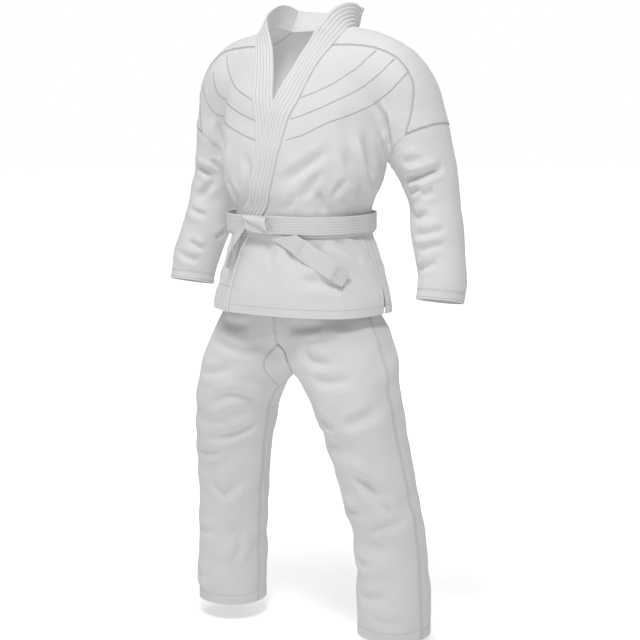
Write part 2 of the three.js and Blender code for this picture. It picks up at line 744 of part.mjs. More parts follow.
// A closed bar through rings of points, capped at both ends.
function bar(rings) {
  const count = rings[0].length;
  const positions = rings.flat();
  const faces = [];
  for (let j = 0; j < rings.length - 1; j += 1) {
    for (let i = 0; i < count; i += 1) {
      const a = j * count + i;
      const b = j * count + ((i + 1) % count);
      faces.push([a, b, b + count], [a, b + count, a + count]);
    }
  }
  const end = (rings.length - 1) * count;
  for (const [a, b, c] of capFaces(rings[0])) {
    faces.push([a, c, b]);
    faces.push([end + a, end + b, end + c]);
  }
  return geometryOf(positions, faces);
}

// Triangles across a ring of points, each turned the way that the ring runs.
function capFaces(ring) {
  const u = unit(sub(ring[Math.floor(ring.length / 2)], ring[0]));
  const far = ring.map((p) => sub(p, ring[0])).sort((a, b) => size(cross(b, u)) - size(cross(a, u)))[0];
  const v = unit(along(far, u, -dot(far, u)));
  const shape = ring.map((p) => new THREE.Vector2(dot(sub(p, ring[0]), u), dot(sub(p, ring[0]), v)));
  const faces = THREE.ShapeUtils.triangulateShape(shape, []);
  const withRing = faces.some((face) => face.some((a, k) => face[(k + 1) % 3] === (a + 1) % ring.length));
  return withRing ? faces : faces.map(([a, b, c]) => [a, c, b]);
}
addMesh('collar', bar(collar));

// Trousers: four panels that meet at the crotch.
const crotchCentre = [0, -14, 800];
const centreRows = [WAISTBAND_TOP_Z, WAISTBAND_TOP_Z - WAISTBAND_HEIGHT, 950, 890, 840];
const arcAngles = [12, 32, 52, 70, 84];
function centreSeam(back) {
  const sign = back ? 1 : -1;
  const upper = centreRows.map((z) => leave(trouserField, [0, -10, z], [0, sign, 0]));
  const lower = arcAngles.map((degrees) => {
    const a = radians(degrees);
    return leave(trouserField, crotchCentre, [0, sign * Math.cos(a), -Math.sin(a)]);
  });
  return [...upper, ...lower];
}
const crotch = leave(trouserField, crotchCentre, [0, 0, -1]);
const inseamRows = [-16, -45, -85].map((drop) => crotch[2] + drop);
inseamRows.push(565, 520, 475, 430, 385, 340, 290, 240, 190, 140, 92, TROUSER_HEM_Z);
function inseamPoint(z) {
  const [middleX, , middleY] = legAt(z);
  return leave(trouserField, [middleX, middleY, z], [-1, 0, 0]);
}
function sidePoint(z) {
  const [middleX, , middleY] = legAt(z);
  return leave(trouserField, [middleX, middleY, z], [1, -0.1, 0]);
}
const legSideRows = [...centreRows, 800, 768, 742, 720, 702, 686, 662, 634, 604];
legSideRows.push(560, 517, 474, 430, 385, 340, 290, 240, 190, 140, 92, TROUSER_HEM_Z);
function legPanel(back) {
  const inner = [...centreSeam(back), crotch, ...inseamRows.map(inseamPoint)];
  const outer = legSideRows.map(sidePoint);
  const ends = [0, inner.length - 1].map((k) => {
    const z = inner[k][2];
    const [middleX, , middleY] = legAt(z);
    const centre = k === 0 ? [0, -8, z] : [middleX, middleY, z];
    const start = Math.atan2(inner[k][0] - centre[0], Math.abs(inner[k][1] - centre[1]));
    const stop = Math.atan2(outer[k][0] - centre[0], (back ? 1 : -1) * (outer[k][1] - centre[1]));
    const line = [inner[k]];
    for (let i = 1; i < STEPS.leg; i += 1) {
      const a = start + ((stop - start) * i) / STEPS.leg;
      line.push(leave(trouserField, centre, [Math.sin(a), (back ? 1 : -1) * Math.cos(a), 0]));
    }
    line.push(outer[k]);
    return line;
  });
  return patch(trouserField, turned(inner), turned(outer), ends[1], ends[0]);
}
const legFront = legPanel(false);
const legBack = legPanel(true);
const legOptions = { edges: ['left', 'right'], wall: TROUSER_WALL, hemRows: [0] };
addMesh('trouser_front_left', cloth(legFront, trouserField, trouserFolds, legOptions));
addMesh('trouser_front_right', cloth(mirrored(legFront), trouserField, trouserFolds, legOptions));
addMesh('trouser_back_left', cloth(legBack, trouserField, trouserFolds, legOptions));
addMesh('trouser_back_right', cloth(mirrored(legBack), trouserField, trouserFolds, legOptions));

// The waistband lies round the top of the four panels.
const waistband = (() => {
  const rowOf = (j) => {
    const left = [...legFront[j], ...turned(legBack[j]).slice(1)];
    return [...left, ...turned(left).slice(1, -1).map(mirror)];
  };
  const rows = [legFront.length - 2, legFront.length - 1].map(rowOf);
  const layer = (far) => rows.map((row) => row.map((p) => along(p, normalOf(trouserField, p), far)));
  return solid(layer(SEAM_GAP + WAISTBAND_THICK), layer(SEAM_GAP), true, cutsOf(rows, trouserField));
})();
addMesh('trouser_waistband', waistband);

// The gusset lies over the meeting of the four panels, on their own points moved out.
const GUSSET = { below: 2, above: 3, columns: 1 };
const gusset = (() => {
  const points = [];
  const normals = [];
  const known = new Map();
  const faces = [];
  const vertex = (p) => {
    const key = p.map((v) => Math.round(Math.abs(v) < 1e-4 ? 0 : v * 1000)).join();
    if (!known.has(key)) {
      known.set(key, points.length);
      const height = foldHeight(trouserFolds, p) + SEAM_GAP + 0.1;
      const normal = normalOf(trouserField, p);
      points.push(along(p, normal, height));
      normals.push(normal);
    }
    return known.get(key);
  };
  for (const grid of [legFront, mirrored(legFront), legBack, mirrored(legBack)]) {
    for (let j = inseamRows.length - GUSSET.below; j < inseamRows.length + GUSSET.above; j += 1) {
      for (let i = 0; i < GUSSET.columns; i += 1) {
        const cell = [[j, i], [j, i + 1], [j + 1, i + 1], [j + 1, i]];
        const turn = cutOf(trouserField, cell.map(([row, column]) => grid[row][column]));
        const [a, b, c, d] = [0, 1, 2, 3].map((k) => cell[(k + turn) % 4]);
        for (const face of [[a, b, c], [a, c, d]]) {
          faces.push(face.map(([row, column]) => vertex(grid[row][column])));
        }
      }
    }
  }
  const facing = faces.map(([a, b, c]) => {
    const turnedOut = dot(cross(sub(points[b], points[a]), sub(points[c], points[a])), normals[a]) > 0;
    return turnedOut ? [a, b, c] : [a, c, b];
  });
  const count = points.length;
  const outer = points.map((p, i) => along(p, normals[i], GUSSET_THICK));
  const edges = new Map();
  for (const face of facing) {
    face.forEach((a, i) => edges.set(`${a},${face[(i + 1) % 3]}`, [a, face[(i + 1) % 3]]));
  }
  const all = [];
  for (const [a, b, c] of facing) all.push([a, b, c], [a + count, c + count, b + count]);
  for (const [a, b] of edges.values()) {
    if (!edges.has(`${b},${a}`)) all.push([a, a + count, b + count], [a, b + count, b]);
  }
  return geometryOf([...outer, ...points], all);
})();
addMesh('trouser_gusset', gusset);

// The belt goes twice round the waist.
const BELT_STATIONS = 44;
const WRAPS = table('name layer frontZ backZ', [
  ['belt_wrap_inner', 0, 1036, 1047],
  ['belt_wrap_outer', 1, 1044, 1050],
]);
const MID_WAIST_Z = 1046;
const WAIST_ROWS = [1012, 1024, 1036, 1048, 1060, 1074];
const inWaist = (x, y, z) => leave(jacketField, [0, 0, z], [x / Math.hypot(x, y), y / Math.hypot(x, y), 0]);
function waistPoint(x, y) {
  const p = inWaist(x, y, MID_WAIST_Z);
  const normal = unit(normalOf(jacketField, p).map((v, i) => (i === 2 ? 0 : v)));
  const reach = WAIST_ROWS.map((z) => {
    const q = inWaist(x, y, z);
    const seam = lapelSeamAt(z)[0];
    const fromFarEdge = smooth(seam - LAPEL_WIDTH - 34, seam - LAPEL_WIDTH - 4, q[0]);
    const lapel = q[1] < 0 ? LAPEL_OUT * fromFarEdge * (1 - smooth(seam + 4, seam + 34, q[0])) : 0;
    return dot(sub(q, p), normal) + overlapLift(q) + foldHeight(jacketFolds, q) + lapel;
  });
  return { p, normal, under: Math.max(...reach) + BELT_CLEAR };
}
const layerHeight = (layer) => layer * (BELT_THICK + WRAP_GAP);

// A flat strap's section: eight points with its long edges eased.
const STRAP_SECTION = table('across out', [
  [-0.5, -0.3], [-0.47, -0.5], [0.47, -0.5], [0.5, -0.3], [0.5, 0.3], [0.47, 0.5], [-0.47, 0.5], [-0.5, 0.3],
]);
function strapRing(centre, acrossAxis, outAxis, width, thick) {
  return STRAP_SECTION.map(({ across, out }) => (
    along(along(centre, acrossAxis, across * width), outAxis, out * thick)
  ));
}

// A closed loop through rings of points.
function loop(rings) {
  const count = rings[0].length;
  const faces = [];
  for (let j = 0; j < rings.length; j += 1) {
    const next = (j + 1) % rings.length;
    for (let i = 0; i < count; i += 1) {
      const b = (i + 1) % count;
      faces.push([j * count + i, j * count + b, next * count + b]);
      faces.push([j * count + i, next * count + b, next * count + i]);
    }
  }
  return geometryOf(rings.flat(), faces);
}
for (const { name, layer, frontZ, backZ } of WRAPS) {
  const rings = [];
  for (let k = 0; k < BELT_STATIONS; k += 1) {
    const a = (2 * Math.PI * k) / BELT_STATIONS;
    const { p, normal, under } = waistPoint(Math.sin(a), -Math.cos(a));
    const out = under + layerHeight(layer) + BELT_THICK / 2;
    const centre = along([p[0], p[1], frontZ + ((backZ - frontZ) * (1 - Math.cos(a))) / 2], normal, out);
    rings.push(strapRing(centre, [0, 0, 1], normal, BELT_WIDTH, BELT_THICK));
  }
  addMesh(name, loop(rings), BELT_CLOTH);
}

// The knot: one turn of belt round the roots of the two hanging ends.
const KNOT = { x: -20, z: 1045, width: 62, height: 38, depth: 13, tilt: -5, shear: 0.45, clear: 2.3 };
const knotFrame = (() => {
  const { p, normal, under } = waistPoint(KNOT.x, -134);
  const level = unit(cross(normal, [0, 0, -1]));
  const tilt = radians(KNOT.tilt);
  const axis = unit(add(scale(level, Math.cos(tilt)), [0, 0, Math.sin(tilt)]));
  const face = under + layerHeight(1) + BELT_THICK + KNOT.clear;
  const origin = along([p[0], p[1], KNOT.z], normal, face);
  return { origin, axis, up: unit(cross(axis, normal)), out: normal };
})();
const inKnot = (a, b, c) => (
  along(along(along(knotFrame.origin, knotFrame.axis, a), knotFrame.up, b), knotFrame.out, c)
);
const KNOT_STATIONS = 20;
const knot = (() => {
  const rings = [];
  const tall = (KNOT.height - BELT_THICK) / 2;
  const deep = (KNOT.depth - BELT_THICK) / 2;
  const squared = (v) => Math.sign(v) * Math.abs(v) ** 0.55;
  for (let k = 0; k < KNOT_STATIONS; k += 1) {
    const a = (2 * Math.PI * k) / KNOT_STATIONS;
    const rise = tall * squared(Math.sin(a));
    const centre = inKnot(rise * KNOT.shear, rise, deep * squared(Math.cos(a)) + KNOT.depth / 2);
    const [, faceUp, faceOut] = unit([0, Math.sin(a) * deep, Math.cos(a) * tall]);
    const outAxis = add(scale(knotFrame.up, faceUp), scale(knotFrame.out, faceOut));
    rings.push(strapRing(centre, knotFrame.axis, outAxis, KNOT.width, BELT_THICK));
  }
  return loop(rings);
})();
addMesh('belt_knot', knot, BELT_CLOTH);

// One end comes out from under the belt, the other leaves the knot. Both hang by places on the front.
const END_COLUMNS = 'x z out width twist skew';
const END_RIGHT = table(END_COLUMNS, [
  [46, 1019, 17, 43, 0, 54],
  [80, 1000, 19, 43, 2, 0],
  [107, 981, 20, 43, 4, 0],
  [134, 962, 20, 43, 3, 0],
  [160, 942, 20, 43, 0, 0],
  [180, 924, 20, 43, -3, 0],
]);
const END_LEFT = table(END_COLUMNS, [
  [-71, 1028, 31, 28, 8, 0],
  [-80, 1009, 33, 34, 22, 0],
  [-85, 986, 35, 40, 38, 0],
  [-88, 962, 36, 43, 50, 0],
  [-90, 938, 36, 43, 54, 0],
]);
const ROOT_WIDTH = 26;
const leftRoots = [30, 0, -34].map((a) => (
  [...inKnot(a, 0, KNOT.depth / 2), ROOT_WIDTH, 0, 0, ...knotFrame.out]
));
function endPlaces(roots, rows, steps) {
  const hanging = rows.map(({ x, z, out, width, twist, skew }) => {
    const p = leave(jacketField, [x, 0, z], [0, -1, 0]);
    const normal = normalOf(jacketField, [p[0], p[1], MID_WAIST_Z]);
    const level = unit([normal[0], normal[1], 0]);
    return [...along(p, level, out), width, twist, skew, ...level];
  });
  const places = spline([...roots, ...hanging], steps);
  return places.map((place, k) => {
    const run = unit(sub(places[Math.min(k + 1, steps)], places[Math.max(k - 1, 0)]).slice(0, 3));
    const [width, twist, skew] = place.slice(3, 6);
    const level = place.slice(6, 9);
    const out = unit(along(level, run, -dot(level, run)));
    const face = add(scale(out, Math.cos(radians(twist))), scale(cross(run, out), Math.sin(radians(twist))));
    const square = cross(face, run);
    const across = add(scale(square, Math.cos(radians(skew))), scale(run, Math.sin(radians(skew))));
    return { centre: place.slice(0, 3), across, face, width: width / Math.cos(radians(skew)) };
  });
}
const strapOf = (places, thick, extra) => places.map(({ centre, across, face, width }) => (
  strapRing(centre, across, face, width + extra * 2, thick + extra * 2)
));
const endRight = endPlaces([], END_RIGHT, 18);
const endLeft = endPlaces(leftRoots, END_LEFT, 14);
addMesh('belt_end_right', bar(strapOf(endRight, BELT_THICK, 0)), BELT_CLOTH);
addMesh('belt_end_left', bar(strapOf(endLeft, BELT_THICK, 0)), BELT_CLOTH);

// A plain rank bar is sewn round the right end, short of its tip.
const barPlaces = endRight.slice(5, 16);
const barOuter = strapOf(barPlaces, BELT_THICK, SEAM_GAP + 1);
const barInner = strapOf(barPlaces, BELT_THICK, SEAM_GAP);
const rankBar = solid(barOuter, barInner, true, cutsOf(barOuter, () => 0));
addMesh('belt_rank_bar', rankBar, BAR_CLOTH);

export default group;
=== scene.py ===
"""Jiu-jitsu gi as worn, with nobody inside: jacket with its long collar, trousers and belt, all cloth."""

import logging
import math
from dataclasses import dataclass
from enum import Enum

import bpy
import numpy as np
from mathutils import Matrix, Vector


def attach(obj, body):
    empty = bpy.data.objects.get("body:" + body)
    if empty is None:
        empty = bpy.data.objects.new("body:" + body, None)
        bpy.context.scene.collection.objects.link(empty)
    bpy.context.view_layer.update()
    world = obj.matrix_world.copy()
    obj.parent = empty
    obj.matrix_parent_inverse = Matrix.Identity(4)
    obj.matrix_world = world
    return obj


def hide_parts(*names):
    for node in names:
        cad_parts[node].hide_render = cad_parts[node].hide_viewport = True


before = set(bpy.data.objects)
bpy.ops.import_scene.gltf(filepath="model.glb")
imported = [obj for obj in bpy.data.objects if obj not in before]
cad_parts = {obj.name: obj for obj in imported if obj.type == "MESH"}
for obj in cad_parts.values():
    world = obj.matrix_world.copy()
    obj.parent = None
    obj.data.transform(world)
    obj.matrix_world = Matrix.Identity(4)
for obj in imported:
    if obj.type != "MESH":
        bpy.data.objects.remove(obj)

log = logging.getLogger("gi")
Array = np.ndarray
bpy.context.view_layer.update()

# Sizes are in millimetres with heights from the floor, as in the part's source, and meshes in metres.
ORIGIN_Z = 1046
HEM_Z = 832
VENT_TOP_Z = 915
VENT_HALF_GAP = 5
OVERLAP_LIFT = 10
LAPEL_WIDTH = 58
LAPEL_OUT = 3.6
SEAM_GAP = 0.3
UNION_ARM = 34
UNION_LEG = 20
TROUSER_HEM_Z = 45
FINE = 6

# z, halfWidth, front, back, middleY, squareness
TORSO = [
    (780, 218, 166, 134, 0, 2.6),
    (832, 226, 172, 136, 0, 2.6),
    (930, 205, 156, 131, 0, 2.6),
    (1012, 171, 139, 120, 0, 2.7),
    (1084, 171, 137, 120, 0, 2.7),
    (1130, 195, 147, 131, 0, 2.6),
    (1195, 208, 148, 142, 0, 2.5),
    (1265, 211, 141, 147, 3, 2.5),
    (1330, 211, 131, 148, 8, 2.5),
    (1385, 211, 115, 139, 14, 2.4),
    (1436, 207, 95, 114, 21, 2.3),
    (1463, 200, 83, 98, 25, 2.2),
    (1484, 182, 73, 82, 29, 2.2),
    (1500, 150, 63, 68, 32, 2.1),
    (1513, 108, 56, 56, 35, 2.1),
    (1522, 78, 48, 48, 35, 2.1),
    (1540, 30, 20, 20, 35, 2.1),
]
# x, y, z, radius
ARM = [
    (150, 28, 1418, 68),
    (196, 30, 1402, 78),
    (228, 36, 1380, 85),
    (251, 44, 1342, 84),
    (269, 51, 1295, 81),
    (292, 58, 1220, 75),
    (310, 61, 1170, 69),
    (325, 61, 1125, 64),
    (336, 56, 1070, 62),
    (353, 45, 1000, 62),
    (371, 30, 930, 59),
    (374, 18, 872, 57),
    (374, 6, 820, 57),
]
# z, middleX, halfWidth, middleY, front, back, squareness
LEG = [
    (0, 251, 85, 22, 86, 90, 2.1),
    (45, 251, 85, 22, 86, 90, 2.1),
    (120, 250, 88, 19, 88, 94, 2.1),
    (200, 247, 86, 18, 88, 92, 2.1),
    (300, 239, 87, 12, 90, 94, 2.1),
    (400, 223, 90, -4, 96, 98, 2.1),
    (510, 203, 96, -22, 104, 104, 2.1),
    (600, 181, 104, -33, 110, 112, 2.1),
    (660, 157, 117, -32, 115, 116, 2.1),
    (705, 132, 135, -27, 117, 121, 2.15),
    (745, 108, 143, -21, 118, 125, 2.2),
    (785, 82, 149, -15, 118, 126, 2.25),
    (820, 62, 148, -12, 117, 122, 2.3),
    (870, 44, 148, -9, 117, 116, 2.4),
    (940, 20, 146, -4, 120, 106, 2.6),
    (990, 0, 155, 0, 125, 108.8, 2.7),
    (1060, 0, 155, 0, 125, 108.8, 2.7),
]
# z, x
LAPEL_SEAM = [
    (780, -102),
    (832, -100),
    (932, -86),
    (995, -66),
    (1030, -42),
    (1074, -12),
    (1163, 24),
    (1221, 38),
    (1292, 52),
    (1338, 67),
    (1396, 83),
    (1433, 98),
    (1463, 113),
    (1500, 126),
]
# z, degrees that the band stands up
BAND_LEAN = [(832, 0), (1330, 0), (1400, 4), (1463, 16), (1490, 32), (1512, 48)]
NAPE_LEAN = 74

# x1, y1, z1, x2, y2, z2, width, depth
JACKET_FOLDS = [
    (188, -84, 1330, 180, -80, 1150, 22, -6),
    (150, -118, 1250, 160, -80, 1100, 20, -5),
    (40, -146, 1140, 132, -126, 1216, 21, -4),
    (-120, -118, 1086, -150, -98, 1180, 20, -4),
    (-202, -70, 1252, -190, -70, 1150, 22, -5),
    (140, -100, 1000, 205, -40, 900, 23, -5),
    (60, -142, 1000, 96, -150, 880, 22, -3.5),
    (170, 70, 1088, 186, 84, 1200, 22, -5),
    (-172, 60, 1088, -190, 80, 1210, 22, -5),
    (60, 122, 1088, 92, 142, 1210, 24, -5),
    (-40, 124, 1088, -96, 142, 1190, 24, -4.5),
    (120, 110, 1000, 150, 104, 890, 22, -4),
    (-90, 116, 1000, -110, 124, 900, 23, -4),
    (205, 128, 1390, 212, 126, 1250, 22, -5),
    (-203, 128, 1380, -212, 126, 1250, 22, -5),
    (262, 30, 1150, 392, 30, 1184, 20, -8),
    (272, 20, 1086, 345, -6, 1050, 20, -6),
    (322, 12, 930, 352, -26, 948, 18, -4),
    (300, 110, 1150, 372, 116, 1106, 22, -6),
    (330, 108, 1050, 392, 96, 1080, 20, -5),
    (-262, 30, 1158, -384, 20, 1150, 20, -7),
    (-290, 0, 1080, -350, -8, 1110, 20, -6),
    (-330, -18, 1000, -400, -4, 1040, 20, -5),
    (-296, 112, 1166, -366, 118, 1120, 22, -6),
    (-330, 106, 1030, -394, 92, 1060, 20, -5),
]
TROUSER_FOLDS = [
    (30, -108, 745, 120, -146, 765, 22, -5),
    (-28, -104, 742, -116, -146, 775, 21, -5),
    (130, -140, 540, 262, -92, 505, 24, -6),
    (150, -106, 420, 280, -72, 450, 23, -5),
    (200, -70, 300, 290, -50, 270, 22, -4),
    (-130, -128, 530, -262, -96, 560, 24, -6),
    (-150, -100, 440, -280, -80, 420, 23, -5),
    (-190, -80, 320, -290, -60, 350, 22, -4),
    (120, 100, 690, 190, 92, 600, 26, -8),
    (-120, 100, 690, -190, 92, 596, 26, -8),
    (140, 84, 550, 250, 80, 520, 24, -6),
    (-140, 84, 556, -250, 80, 516, 24, -6),
    (170, 96, 420, 280, 90, 450, 24, -5),
    (-170, 96, 436, -280, 90, 400, 23, -5),
    (40, 112, 790, 130, 120, 800, 24, -5),
    (-40, 112, 780, -130, 120, 800, 24, -5),
]
# Finer creases, each through three points: x y z three times, width, depth
JACKET_CREASES = [
    (253, -36, 1316, 254, -23, 1263, 246, -9, 1214, 7, -8),
    (233, -44, 1336, 241, -30, 1290, 240, -15, 1244, 8, -4.5),
    (202, -55, 1267, 208, -38, 1221, 199, -6, 1138, 11, -5),
    (181, -90, 1242, 190, -78, 1187, 175, -4, 1092, 13, -5),
    (43, -148, 1139, 88, -142, 1175, 153, -114, 1222, 11, -3.5),
    (128, -126, 1129, 130, -112, 1094, 133, -105, 1075, 9, -3.5),
    (83, -135, 1105, 116, -133, 1141, 138, -125, 1176, 9, -3),
    (160, -110, 1100, 166, -96, 1130, 176, -80, 1160, 8, -3),
    (54, -140, 1082, 66, -140, 1100, 74, -140, 1124, 8, -2.5),
    (143, -99, 1012, 175, -62, 983, 205, -40, 950, 11, -4),
    (95, -153, 908, 140, -135, 916, 189, -104, 893, 12, -3.5),
    (120, -120, 1008, 132, -130, 970, 150, -130, 930, 10, -3),
    (60, -140, 1010, 66, -148, 976, 78, -152, 940, 9, -2.5),
    (10, -142, 1008, 12, -152, 970, 20, -160, 930, 9, -2.5),
    (-142, -121, 1145, -120, -124, 1120, -100, -128, 1098, 9, -3.5),
    (-73, -142, 1219, -61, -147, 1160, -65, -134, 1088, 11, -3),
    (-150, -100, 1240, -160, -100, 1190, -168, -80, 1130, 10, -4),
    (-192, -60, 1226, -196, -46, 1190, -190, -20, 1140, 10, -4),
    (-244, -36, 1284, -250, -26, 1256, -244, -10, 1220, 9, -4),
    (-110, -120, 1084, -120, -122, 1104, -140, -116, 1126, 8, -3),
    (-130, -120, 1008, -150, -104, 976, -176, -84, 944, 10, -3.5),
    (-90, -140, 1008, -100, -146, 970, -120, -142, 925, 9, -2.5),
    (-120, -146, 900, -150, -130, 905, -190, -96, 886, 11, -3),
    (280, 0, 1146, 320, -4, 1158, 377, 34, 1184, 8.5, -6.5),
    (298, -6, 1157, 290, -2, 1150, 282, 4, 1142, 7, -3),
    (280, -4, 1200, 306, -12, 1196, 340, -4, 1206, 9, -2.5),
    (286, -2, 1118, 306, -8, 1126, 330, -4, 1136, 8, -3.5),
    (311, -2, 1023, 362, -11, 1033, 395, 14, 1044, 9, -4),
    (323, -8, 944, 366, -26, 958, 393, -17, 968, 8, -3),
    (330, -3, 1116, 350, 2, 1124, 364, 10, 1131, 8, -3),
    (333, -15, 988, 371, -16, 1003, 398, 1, 1006, 8, -3),
    (300, 4, 1062, 326, -6, 1070, 356, -4, 1078, 8, -3),
    (-281, -11, 1188, -276, -4, 1176, -272, 2, 1162, 8, -3.5),
    (-290, -6, 1150, -320, -8, 1162, -356, 4, 1176, 9, -4.5),
    (-355, -21, 982, -334, -14, 968, -315, -1, 956, 8, -3.5),
    (-299, 20, 982, -290, 38, 996, -286, 58, 1011, 8, -3.5),
    (-340, -5, 1084, -310, -1, 1111, -282, 6, 1136, 9, -4),
    (-300, -2, 1046, -330, -8, 1050, -366, 2, 1064, 8, -3),
    (-322, -10, 930, -352, -24, 936, -388, -12, 952, 8, -3),
    (-300, 120, 1190, -330, 130, 1176, -360, 110, 1170, 9, -4),
    (300, 120, 1196, 330, 130, 1180, 362, 110, 1176, 9, -4),
    (320, 116, 1090, 350, 118, 1080, 386, 96, 1084, 8, -3.5),
    (-318, 116, 1100, -350, 118, 1086, -384, 96, 1086, 8, -3.5),
    (330, 106, 990, 360, 106, 1000, 398, 84, 1012, 8, -3),
    (-332, 106, 976, -362, 106, 984, -400, 80, 1000, 8, -3),
    (340, 86, 920, 370, 84, 926, 404, 60, 940, 8, -2.5),
    (-340, 86, 930, -370, 84, 936, -404, 60, 946, 8, -2.5),
    (240, 128, 1300, 236, 134, 1250, 226, 120, 1200, 10, -4),
    (-240, 128, 1310, -236, 134, 1256, -226, 120, 1206, 10, -4),
    (196, 120, 1280, 190, 130, 1210, 176, 110, 1130, 11, -4),
    (-196, 120, 1290, -192, 130, 1220, -176, 110, 1130, 11, -4),
    (120, 130, 1086, 134, 140, 1130, 156, 138, 1180, 10, -4),
    (-110, 130, 1086, -124, 140, 1126, -150, 138, 1170, 10, -4),
    (20, 124, 1084, 30, 136, 1120, 34, 142, 1170, 10, -3),
    (-10, 124, 1084, -16, 136, 1110, -30, 142, 1150, 9, -2.5),
    (80, 120, 1008, 92, 128, 970, 104, 132, 920, 10, -3),
    (-60, 120, 1008, -66, 128, 976, -72, 134, 930, 9, -3),
    (20, 120, 1008, 24, 128, 980, 26, 132, 940, 9, -2),
    (150, 90, 1006, 172, 80, 970, 194, 60, 930, 10, -3.5),
    (-150, 90, 1006, -174, 80, 966, -194, 60, 920, 10, -3.5),
    (-120, 140, 1300, -60, 150, 1270, 10, 150, 1264, 12, -2.5),
    (120, 140, 1296, 60, 150, 1276, 0, 150, 1280, 12, -2),
]
TROUSER_CREASES = [
    (84, -138, 746, 130, -142, 727, 181, -133, 724, 11, -4),
    (92, -137, 764, 160, -123, 780, 203, -103, 769, 11, -3.5),
    (40, -128, 800, 90, -136, 806, 150, -128, 812, 11, -3),
    (120, -134, 690, 170, -130, 680, 220, -100, 690, 12, -3),
    (199, -117, 472, 248, -105, 441, 301, -56, 402, 13, -4.5),
    (237, -111, 452, 267, -90, 404, 308, -45, 352, 12, -4),
    (200, -139, 573, 245, -123, 599, 273, -81, 619, 13, -4),
    (120, -120, 600, 150, -136, 580, 190, -140, 566, 12, -3.5),
    (231, -78, 298, 272, -77, 334, 319, -18, 347, 12, -3.5),
    (170, -80, 250, 210, -76, 232, 256, -66, 236, 11, -3),
    (160, -60, 380, 190, -84, 366, 232, -88, 370, 11, -3.5),
    (190, -60, 160, 230, -70, 150, 290, -50, 164, 12, -3),
    (236, -66, 110, 280, -56, 96, 318, -20, 104, 12, -2.5),
    (-208, -138, 573, -129, -136, 619, -81, -70, 601, 13, -4),
    (-220, -124, 502, -140, -105, 514, -94, -42, 557, 12, -4),
    (-228, -96, 382, -194, -79, 345, -156, -65, 386, 12, -3.5),
    (-202, -115, 747, -94, -140, 735, -36, -128, 751, 12, -4),
    (-204, -68, 275, -178, -39, 207, -203, -58, 141, 12, -3.5),
    (-60, -132, 800, -120, -134, 796, -180, -110, 800, 11, -3),
    (-110, -130, 690, -170, -132, 670, -226, -100, 660, 12, -3),
    (-180, -110, 470, -220, -106, 456, -270, -80, 462, 11, -3),
    (-230, -70, 250, -262, -62, 236, -300, -30, 240, 11, -2.5),
    (-240, -66, 120, -280, -56, 110, -318, -20, 124, 12, -2.5),
    (70, 112, 700, 120, 104, 660, 170, 84, 640, 12, -5),
    (-70, 112, 704, -120, 104, 662, -172, 84, 636, 12, -5),
    (60, 116, 750, 130, 112, 730, 210, 80, 720, 13, -4),
    (-60, 116, 746, -130, 112, 734, -208, 80, 730, 13, -4),
    (120, 70, 600, 180, 84, 580, 250, 60, 576, 12, -4),
    (-120, 70, 590, -180, 84, 576, -250, 60, 580, 12, -4),
    (150, 90, 480, 210, 96, 470, 280, 70, 480, 12, -4),
    (-150, 90, 470, -210, 96, 476, -280, 70, 462, 12, -4),
    (180, 96, 370, 230, 102, 356, 290, 80, 350, 12, -3.5),
    (-180, 96, 360, -230, 102, 350, -290, 80, 366, 12, -3.5),
    (190, 100, 240, 240, 106, 226, 300, 80, 230, 12, -3),
    (-190, 100, 250, -240, 106, 232, -300, 80, 226, 12, -3),
    (200, 100, 120, 250, 108, 110, 306, 80, 116, 12, -2.5),
    (-200, 100, 130, -250, 108, 116, -306, 80, 110, 12, -2.5),
]
# Rows of stitching that arch over the chest, on the wearer's left: x, y, z
CHEST_ARCS = [
    [(70, -117, 1341), (111, -103, 1357), (144, -84, 1375), (170, -65, 1396), (191, -56, 1411),
     (211, -44, 1434), (224, -30, 1450)],
    [(55, -132, 1290), (97, -122, 1306), (134, -107, 1322), (173, -78, 1345), (208, -55, 1368),
     (246, -46, 1397), (269, -19, 1431)],
    [(50, -141, 1242), (95, -132, 1258), (139, -114, 1281), (185, -79, 1302), (217, -43, 1322),
     (269, -40, 1356), (299, -11, 1399)],
]
# The same arches on the wearer's right, where the cloth is drawn a little differently
RIGHT_ARCS = [
    [(-70, -118, 1337), (-101, -108, 1349), (-140, -90, 1366), (-174, -66, 1386), (-190, -57, 1408),
     (-202, -44, 1432), (-208, -38, 1447)],
    [(-50, -133, 1287), (-84, -126, 1298), (-121, -115, 1311), (-165, -88, 1326), (-200, -60, 1338),
     (-222, -50, 1347), (-235, -46, 1370), (-243, -44, 1404)],
    [(-36, -143, 1240), (-72, -136, 1250), (-112, -127, 1263), (-160, -100, 1279), (-200, -66, 1290),
     (-236, -40, 1296), (-262, -32, 1316), (-280, -30, 1344), (-292, -24, 1370)],
]
UNDER_ARM_FRONT = [(240, 18, 1196), (250, -8, 1212), (274, -20, 1235), (299, -22, 1256)]
UNDER_ARM_BACK = [(240, 76, 1196), (250, 104, 1212), (274, 126, 1235), (299, 134, 1256)]
CAP_FRONT = [(299, -22, 1256), (312, -18, 1313), (312, -10, 1363), (299, -11, 1402)]
CAP_BACK = [(299, 134, 1256), (312, 126, 1313), (312, 110, 1363), (299, 88, 1402)]
BICEPS = [
    (299, -22, 1256),
    (330, -4, 1270),
    (353, 25, 1280),
    (361, 55, 1283),
    (353, 86, 1280),
    (330, 114, 1270),
    (299, 134, 1256),
]
YOKE_FRONT = [(178, -37, 1462), (221, -26, 1453), (268, -17, 1434), (299, -11, 1402)]
YOKE_BACK = [(98, 84, 1506), (160, 98, 1482), (215, 100, 1458), (265, 96, 1432), (299, 88, 1402)]
NECK_SIDE = [(126, -26, 1490), (120, 24, 1510), (98, 84, 1506)]
SIDE_ROWS = [832, 866, 900, 932, 966, 996, 1018, 1078, 1104, 1130, 1156, 1180]
